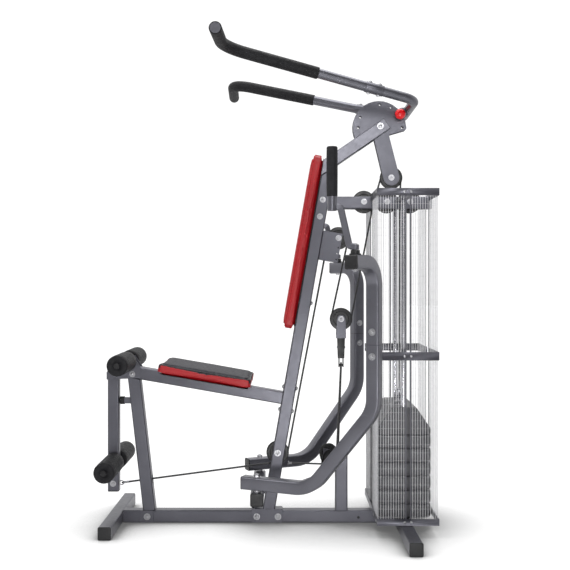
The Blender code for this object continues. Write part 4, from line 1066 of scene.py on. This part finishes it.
# ---------------------------------------------------------------- leg developer
def foam_roller(name, x, z, sign, node):
    """A moulded foam roller: rounded shoulders, a shallow waist line and a recessed end."""
    low, high = 0.030, 0.250
    bore = 0.0106
    outer = 0.0405
    profile = [
        (bore, low + 0.0030),
        (0.0170, low + 0.0022),
        (0.0190, low),
        (outer - 0.0060, low),
        (outer - 0.0020, low + 0.0016),
        (outer - 0.0003, low + 0.0055),
        (outer + 0.0003, low + 0.0400),
        (outer, (low + high) / 2),
        (outer + 0.0003, high - 0.0400),
        (outer - 0.0003, high - 0.0055),
        (outer - 0.0020, high - 0.0016),
        (outer - 0.0060, high),
        (0.0190, high),
        (0.0170, high - 0.0022),
        (bore, high - 0.0030),
    ]
    piece = turned(name, profile, (x, 0, z), (0, sign, 0), "foam", name, (node,), 64, True, angle=50.0)

for station, x, z, _ in AXLES:
    for side, sign in SIDES:
        foam_roller(f"{station}_foam_{side}", x, z, sign, f"{station}_roller_{side}")

bolts("lever_boss_bolt", [((-0.6530, 0.0, 0.5865), (-1, 0, 0))], "leg_developer", 0.0080, 0.0060)
STOP = (-0.5866, 0.0, 0.495)
POST_FACE = (-0.5585, 0.0, 0.495)
pad = [(0.0, 0.0), (0.0150, 0.0), (0.0160, 0.0012), (0.0160, 0.0150)]
pad += [(0.0150, 0.0182), (0.0120, 0.0200), (0.0, 0.0204)]
turned("lever_stop_rubber", pad, STOP, (-1, 0, 0), "rubber", "frame", count=32)
bm = bmesh.new()
add_sweep(bm, [STOP, POST_FACE], rounded_rectangle(0.030, 0.024, 0.003), Y_AXIS)
new_piece("lever_stop_bracket", bm, "frame", "frame", bevel=0.0010)
bolts("lever_eye_bolt", both_sides(-0.6305, 0.158, 0.0225), "leg_developer", 0.0085, 0.0060)

EYE = Vector((-0.5985, 0.0, 0.158))
bm = bmesh.new()
add_eye(bm, EYE - X_AXIS * 0.0005, X_AXIS, Z_AXIS, 0.0085, 0.0020)
add_lathe(bm, [(0.0, 0.0), (0.0090, 0.0), (0.0090, 0.0012), (0.0, 0.0012)], (-0.6080, 0, EYE.z), X_AXIS, 24)
new_piece("leg_cable_eye", bm, "bolt", "leg_developer")

# ---------------------------------------------------------------- cables
CABLE_RADIUS = 0.0030
JACKET_RADIUS = 0.0038
CABLE_RUN = (PULLEY_GROOVE + CABLE_RADIUS + 0.0003) / math.cos(math.radians(10))


def tangent(first, second):
    """Angles at which a straight run leaves the first circle and meets the second."""
    dx = second[0] - first[0]
    dz = second[1] - first[1]
    lean = math.asin((second[2] * second[3] - first[2] * first[3]) / math.hypot(dx, dz))
    run = math.atan2(dz, dx) - lean
    return run - first[3] * math.pi / 2, run - second[3] * math.pi / 2


def arcs(circles):
    """For each circle of a belt, the points of the belt's arc on it."""
    leaving = []
    arriving = [None]
    for first, second in zip(circles[:-1], circles[1:]):
        start, end = tangent(first, second)
        leaving.append(start)
        arriving.append(end)
    leaving.append(None)
    result = []
    for (x, z, radius, turn), begin, finish in zip(circles, arriving, leaving):
        if radius == 0.0:
            result.append([(x, z)])
            continue
        swing = (finish - begin) * turn % (2 * math.pi)
        if swing > 1.9 * math.pi:
            swing = 0.02
        count = max(2, math.ceil(swing / math.radians(7)))
        angles = [begin + turn * swing * i / count for i in range(count + 1)]
        result.append([(x + radius * math.cos(a), z + radius * math.sin(a)) for a in angles])
    return result


def cable(name, points, body=None, between=None, node="main_cable"):
    """One stretch of cable. A straight stretch between two bodies has rings at its ends only."""
    bm = bmesh.new()
    points = [Vector(point) for point in points]
    add_sweep(bm, points, circle((0, 0), JACKET_RADIUS, 14), (0.12, 1.0, 0.08))
    piece = new_piece(name, bm, "cable", body, (node,))
    if between:
        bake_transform(piece)
    return piece


def wheel(place, turn):
    return (place[0], place[1], CABLE_RUN, turn)


main = arcs(
    [
        (ROD_X, stem_high - 0.004, 0.0, 0.0),
        wheel(TOP_PULLEYS[2], -1.0),
        wheel(LEVER_PULLEY, 1.0),
        wheel(TOP_PULLEYS[0], -1.0),
        wheel(FLOATING_PULLEY, -1.0),
        wheel(BRACKET_PULLEY, 1.0),
        wheel(FOOT_PULLEY, -1.0),
        (EYE.x, EYE.z, 0.0, 0.0),
    ]
)
main = [[Vector((x, 0.0, z)) for x, z in arc] for arc in main]
cable("cable_stack", [main[0][0], main[1][0]], between=("stack_carriage", "frame"))
cable("cable_top_rear", main[1], "frame")
cable("cable_to_lever", [main[1][-1], main[2][0]], between=("frame", "lat_lever"))
cable("cable_lever", main[2], "lat_lever")
cable("cable_from_lever", [main[2][-1], main[3][0]], between=("lat_lever", "frame"))
cable("cable_top_front", main[3], "frame")
cable("cable_to_floating", [main[3][-1], main[4][0]], between=("frame", "fork"))
cable("cable_floating", main[4], "fork")
cable("cable_from_floating", [main[4][-1], main[5][0]], between=("fork", "frame"))
guide = main[6][-1].lerp(main[7][0], (main[6][-1].x + 0.530) / (main[6][-1].x - EYE.x))
cable("cable_bracket_to_post", main[5] + main[6] + [guide], "frame")
cable("cable_leg", [guide, main[7][0]], between=("frame", "leg_developer"))

PIN_Z = FLOATING_PULLEY[1] - 0.188
LOOP = 0.0048 + CABLE_RADIUS + 0.0003
block = Vector((FLOATING_PULLEY[0], LOOP, PIN_Z))
span = arcs(
    [
        ((ARM_EYE - LOW_PULLEY).dot(AWAY), ARM_EYE.z - LOW_PULLEY.z, 0.0, 0.0),
        (0.0, 0.0, CABLE_RUN, -1.0),
        ((block - LOW_PULLEY).dot(AWAY), PIN_Z - LOW_PULLEY.z, 0.0, 0.0),
    ]
)
low_arc = [LOW_PULLEY + AWAY * u + Z_AXIS * v for u, v in span[1]]
for side, sign in SIDES:
    arc = [flipped(point, sign) for point in low_arc]
    eye = flipped(ARM_EYE, sign)
    hang = flipped(block, sign)
    cable(f"cable_arm_{side}", [eye, arc[0]], between=(f"arm_{side}", "frame"), node="arm_cable")
    cable(f"cable_low_{side}", arc, "frame", node="arm_cable")
    cable(f"cable_rise_{side}", [arc[-1], hang], between=("frame", "fork"), node="arm_cable")
over_pin = []
for i in range(13):
    angle = math.pi * i / 12
    over_pin.append(Vector((block.x, -LOOP * math.cos(angle), PIN_Z + LOOP * math.sin(angle))))
cable("cable_over_pin", over_pin, "fork", node="arm_cable")


def fitting(name, start, way, body, length=0.024):
    """A crimped sleeve where a cable's end is fixed."""
    profile = [(0.0, 0.0), (0.0036, 0.0), (0.0046, 0.0012), (0.0046, length - 0.004)]
    profile += [(0.0032, length), (0.0, length)]
    return turned(name, profile, start, way, "bolt", body, count=20)

fitting("stem_cable_fitting", main[0][0], (main[1][0] - main[0][0]), "stack_carriage", 0.030)
fitting("leg_cable_fitting", EYE + (guide - EYE).normalized() * 0.0060, (guide - EYE), "leg_developer")
for side, sign in SIDES:
    eye = flipped(ARM_EYE, sign)
    fitting(f"arm_cable_fitting_{side}", eye, flipped(low_arc[0], sign) - eye, f"arm_{side}")


# ---------------------------------------------------------------- cushions
Pad = namedtuple("Pad", "name origin along upward length half_width low high")
PAD_BASE = HALF + 0.0012
PAD_CORNER = 0.016
MOST_SWELL = 0.0120
SEAM_INSET = 0.0040
SEAT = Pad("seat", SEAT_BEAM_START, BACK, UP, (0.140, 0.511), 0.170, PAD_BASE, 0.0715)
REST = Pad("backrest", UPRIGHT_BASE, UP, -BACK, (0.746, 1.446), 0.130, PAD_BASE, 0.0743)

def pad_point(pad, u, v, level):
    """A point at u and v from the middle of the pad, at a level above the tube that carries it."""
    middle = (pad.length[0] + pad.length[1]) / 2
    return pad.origin + pad.along * (middle + u) + Y_AXIS * v + pad.upward * level

def pad_outline(pad, inset, corner, steps):
    length = pad.length[1] - pad.length[0] - 2 * inset
    return rounded_rectangle(length, 2 * (pad.half_width - inset), corner, steps)

def pad_axes(pad):
    """Each axis of a pad with the span that the pad fills along it."""
    width = (-pad.half_width, pad.half_width)
    return ((pad.along, pad.length), (Y_AXIS, width), (pad.upward, (pad.low, pad.high)))

def cushion(pad):
    """A stuffed pad: a rounded block is inflated as cloth, smoothed, and squared up at its edges.

    The low face rests on a board and stays flat. The crown is on the high side.
    """
    top = pad.high - 0.0035
    levels = [
        (0.0030, pad.low),
        (0.0, pad.low + 0.0030),
        (0.0, (pad.low + top) / 2),
        (0.0, top - 0.0040),
        (0.0016, top - 0.0012),
        (0.0050, top),
    ]
    outline = pad_outline(pad, -0.0004, PAD_CORNER, 6)
    rows = []
    for inset, level in levels:
        fu = 1 - 2 * inset / (pad.length[1] - pad.length[0])
        fv = 1 - inset / pad.half_width
        rows.append([pad_point(pad, u * fu, v * fv, level) for u, v in outline])
    bm = bmesh.new()
    add_rings(bm, rows)
    bmesh.ops.recalc_face_normals(bm, faces=bm.faces[:])
    mesh = bpy.data.meshes.new(f"{pad.name}_cushion")
    bm.to_mesh(mesh)
    bm.free()
    obj = bpy.data.objects.new(f"{pad.name}_cushion", mesh)
    bpy.context.scene.collection.objects.link(obj)
    remesh = obj.modifiers.new("voxels", "REMESH")
    remesh.mode = "VOXEL"
    remesh.voxel_size = 0.0045
    apply_modifiers(obj)
    rest = [vert.co.copy() for vert in obj.data.vertices]
    inflate(obj)
    for vert, before in zip(obj.data.vertices, rest):
        moved = vert.co - before
        if moved.length > MOST_SWELL:
            vert.co = before + moved.normalized() * MOST_SWELL
    fit(obj, pad)
    divide = obj.modifiers.new("smooth", "SUBSURF")
    divide.levels = 1
    divide.render_levels = 1
    apply_modifiers(obj)
    square_up(obj, pad)
    for polygon in obj.data.polygons:
        polygon.use_smooth = True
    return obj

def fit(obj, pad):
    """Stretch the cushion slightly along each of its axes so that it just fills the space given."""
    for axis, (low, high) in pad_axes(pad):
        reach = [(vert.co - pad.origin).dot(axis) for vert in obj.data.vertices]
        least, most = min(reach), max(reach)
        for vert, value in zip(obj.data.vertices, reach):
            wanted = low + (value - least) / (most - least) * (high - low)
            vert.co += axis * (wanted - value)

def square_up(obj, pad, radius=0.006, amount=0.65):
    """Draw the swollen pad towards a block with small round edges, so that its corners stay crisp."""
    axes = [axis for axis, _ in pad_axes(pad)]
    middles = [(low + high) / 2 for _, (low, high) in pad_axes(pad)]
    cores = [(high - low) / 2 - radius for _, (low, high) in pad_axes(pad)]
    for vert in obj.data.vertices:
        place = [(vert.co - pad.origin).dot(axis) - middle for axis, middle in zip(axes, middles)]
        held = [max(-core, min(core, value)) for value, core in zip(place, cores)]
        gap = Vector([value - near for value, near in zip(place, held)])
        if gap.length < 1e-6:
            continue
        reach = gap.normalized() * radius
        for axis, value, near, out in zip(axes, place, held, reach):
            vert.co += axis * ((near + out - value) * amount)

def inflate(obj):
    cloth = obj.modifiers.new("stuffing", "CLOTH")
    settings = cloth.settings
    settings.quality = 5
    settings.mass = 0.3
    settings.tension_stiffness = 40
    settings.compression_stiffness = 40
    settings.shear_stiffness = 8
    settings.bending_stiffness = 1.2
    settings.use_pressure = True
    settings.uniform_pressure_force = 2.5
    settings.effector_weights.gravity = 0.0
    cloth.point_cache.frame_start = 1
    cloth.point_cache.frame_end = 20
    scene = bpy.context.scene
    for number in range(1, 21):
        scene.frame_set(number)
    apply_modifiers(obj)
    scene.frame_set(1)


def dress(obj, pad, crown, looks):
    """Give the crown face one cover and the sides another, and make the piece ride."""
    reach = ((pad.length[1] - pad.length[0]) / 2 - SEAM_INSET, pad.half_width - SEAM_INSET)
    centre = pad_point(pad, 0.0, 0.0, 0.0)
    obj.data.materials.clear()
    for look in looks:
        obj.data.materials.append(LOOK[look])
    for polygon in obj.data.polygons:
        offset = polygon.center - centre
        inside = abs(offset.dot(pad.along)) < reach[0] and abs(offset.y) < reach[1]
        polygon.material_index = 0 if inside and offset.dot(pad.upward) > crown else 1
    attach(obj, "frame")
    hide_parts(f"{pad.name}_pad")

def piping(name, obj, pad, inset, level, corner, radius, look):
    """Corded seam laid on the cushion along a rounded rectangle."""
    surface = BVHTree.FromObject(obj, bpy.context.evaluated_depsgraph_get())
    outline = pad_outline(pad, inset, corner, 8)
    line = []
    for a, b in zip(outline, outline[1:] + outline[:1]):
        steps = max(1, int(math.dist(a, b) / 0.012))
        for i in range(steps):
            u = a[0] + (b[0] - a[0]) * i / steps
            v = a[1] + (b[1] - a[1]) * i / steps
            want = pad_point(pad, u, v, level)
            spot, normal, _, _ = surface.find_nearest(obj.matrix_world.inverted() @ want)
            line.append(spot + normal * (radius * 0.35))
    count = len(line)
    smooth = [(line[i - 1] + line[i] * 2 + line[(i + 1) % count]) / 4 for i in range(count)]
    rows = []
    for i, point in enumerate(smooth):
        way = (smooth[(i + 1) % count] - smooth[i - 1]).normalized()
        across = way.cross(pad.upward).normalized()
        over = across.cross(way)
        rows.append([point + across * x + over * y for x, y in circle((0, 0), radius, 10)])
    bm = bmesh.new()
    add_rings(bm, rows, closed=True)
    new_piece(name, bm, look, "frame")

def board(pad):
    """Plywood board under the cover, with the black lining that shows from behind."""
    outline = pad_outline(pad, 0.008, 0.022, 6)
    rows = []
    for scale, level in ((0.994, HALF + 0.0003), (1.0, HALF + 0.0008), (1.0, HALF + 0.0016)):
        rows.append([pad_point(pad, u * scale, v * scale, level) for u, v in outline])
    bm = bmesh.new()
    add_rings(bm, rows)
    new_piece(f"{pad.name}_board", bm, "black", "frame")

seat = cushion(SEAT)
dress(seat, SEAT, 0.050, ("slate", "red"))
piping("seat_piping_top", seat, SEAT, 0.004, 0.0700, 0.015, 0.0019, "piping")
piping("seat_piping_low", seat, SEAT, 0.001, 0.0330, 0.016, 0.0012, "red")
backrest = cushion(REST)
dress(backrest, REST, 0.055, ("red", "red"))
piping("backrest_piping_front", backrest, REST, 0.004, 0.0735, 0.015, 0.0015, "red")
piping("backrest_piping_rear", backrest, REST, 0.001, 0.0330, 0.016, 0.0012, "red")
board(SEAT)
board(REST)

# ---------------------------------------------------------------- floor, light and camera
WHITE_LEVEL = 1.0
DIM_LEVEL = 0.16
BRIGHT_LEVEL = 0.95

def make_floor():
    """White paper that glows to the camera, except close under the machine where it shades off."""
    bm = bmesh.new()
    bmesh.ops.create_circle(bm, cap_ends=True, segments=96, radius=40.0)
    mesh = bpy.data.meshes.new("studio_floor")
    bm.to_mesh(mesh)
    bm.free()
    floor = bpy.data.objects.new("studio_floor", mesh)
    floor.location.z = -0.0005
    bpy.context.scene.collection.objects.link(floor)
    paper = Shader("floor_paper", (0.90, 0.90, 0.90), 0.0, 0.6)
    camera_ray = paper.node("LightPath").outputs["Is Camera Ray"]
    pale = paper.spread(camera_ray, 0.90, 0.10, 0.0, 1.0)
    paper.link(pale, paper.shader.inputs["Base Color"])
    closed = paper.node("AmbientOcclusion")
    closed.inputs["Distance"].default_value = 0.42
    level = paper.node("Math")
    level.operation = "MULTIPLY"
    paper.link(camera_ray, level.inputs[0])
    paper.link(paper.spread(closed.outputs["AO"], 0.10, WHITE_LEVEL, 0.45, 0.97), level.inputs[1])
    glow = paper.node("Emission")
    paper.link(level.outputs[0], glow.inputs["Strength"])
    both = paper.node("AddShader")
    paper.link(paper.shader.outputs[0], both.inputs[0])
    paper.link(glow.outputs[0], both.inputs[1])
    output = next(node for node in paper.tree.nodes if node.type == "OUTPUT_MATERIAL")
    paper.link(both.outputs[0], output.inputs["Surface"])
    mesh.materials.append(paper.material)

def area_light(name, place, target, size, energy):
    lamp = bpy.data.lights.new(name, "AREA")
    lamp.shape = "DISK"
    lamp.size = size
    lamp.energy = energy
    obj = bpy.data.objects.new(name, lamp)
    obj.location = place
    way = Vector(target) - Vector(place)
    obj.rotation_euler = way.to_track_quat("-Z", "Y").to_euler()
    bpy.context.scene.collection.objects.link(obj)


def make_world():
    """A white room, bright behind and above the machine and dim in front of it."""
    world = bpy.data.worlds.new("studio")
    bpy.context.scene.world = world
    world.use_nodes = True
    tree = world.node_tree
    background = tree.nodes["Background"]
    background.inputs["Color"].default_value = (1.0, 1.0, 1.0, 1.0)
    place = tree.nodes.new("ShaderNodeTexCoord")
    split = tree.nodes.new("ShaderNodeSeparateXYZ")
    tree.links.new(place.outputs["Generated"], split.inputs[0])
    depth = tree.nodes.new("ShaderNodeMapRange")
    depth.interpolation_type = "SMOOTHSTEP"
    depth.inputs["From Min"].default_value = -0.75
    depth.inputs["From Max"].default_value = 0.45
    depth.inputs["To Min"].default_value = DIM_LEVEL
    depth.inputs["To Max"].default_value = BRIGHT_LEVEL
    tree.links.new(split.outputs["Y"], depth.inputs["Value"])
    path = tree.nodes.new("ShaderNodeLightPath")
    level = tree.nodes.new("ShaderNodeMapRange")
    level.inputs["To Max"].default_value = WHITE_LEVEL + 0.1
    tree.links.new(path.outputs["Is Camera Ray"], level.inputs["Value"])
    tree.links.new(depth.outputs["Result"], level.inputs["To Min"])
    tree.links.new(level.outputs["Result"], background.inputs["Strength"])


make_floor()
make_world()
# The plain display transform keeps white paper white.
bpy.context.scene.view_settings.view_transform = "Standard"
area_light("key_light", (-2.4, -2.2, 3.2), (0.0, 0.0, 0.8), 1.8, 45.0)
area_light("top_light", (0.3, 0.3, 4.2), (0.1, 0.0, 0.6), 3.0, 70.0)
area_light("front_panel", (0.55, -3.3, 2.1), (0.2, 0.0, 1.0), 1.3, 26.0)
area_light("low_panel", (0.25, -3.3, 0.05), (0.1, 0.0, 0.5), 0.5, 26.0)
camera_data = bpy.data.cameras.new("camera")
camera_data.lens = 57.9
camera_data.sensor_width = 36.0
camera = bpy.data.objects.new("camera", camera_data)
camera.location = (0.0685, -3.75, 0.966)
camera.rotation_euler = (math.radians(90), 0.0, 0.0)
bpy.context.scene.collection.objects.link(camera)
bpy.context.scene.camera = camera
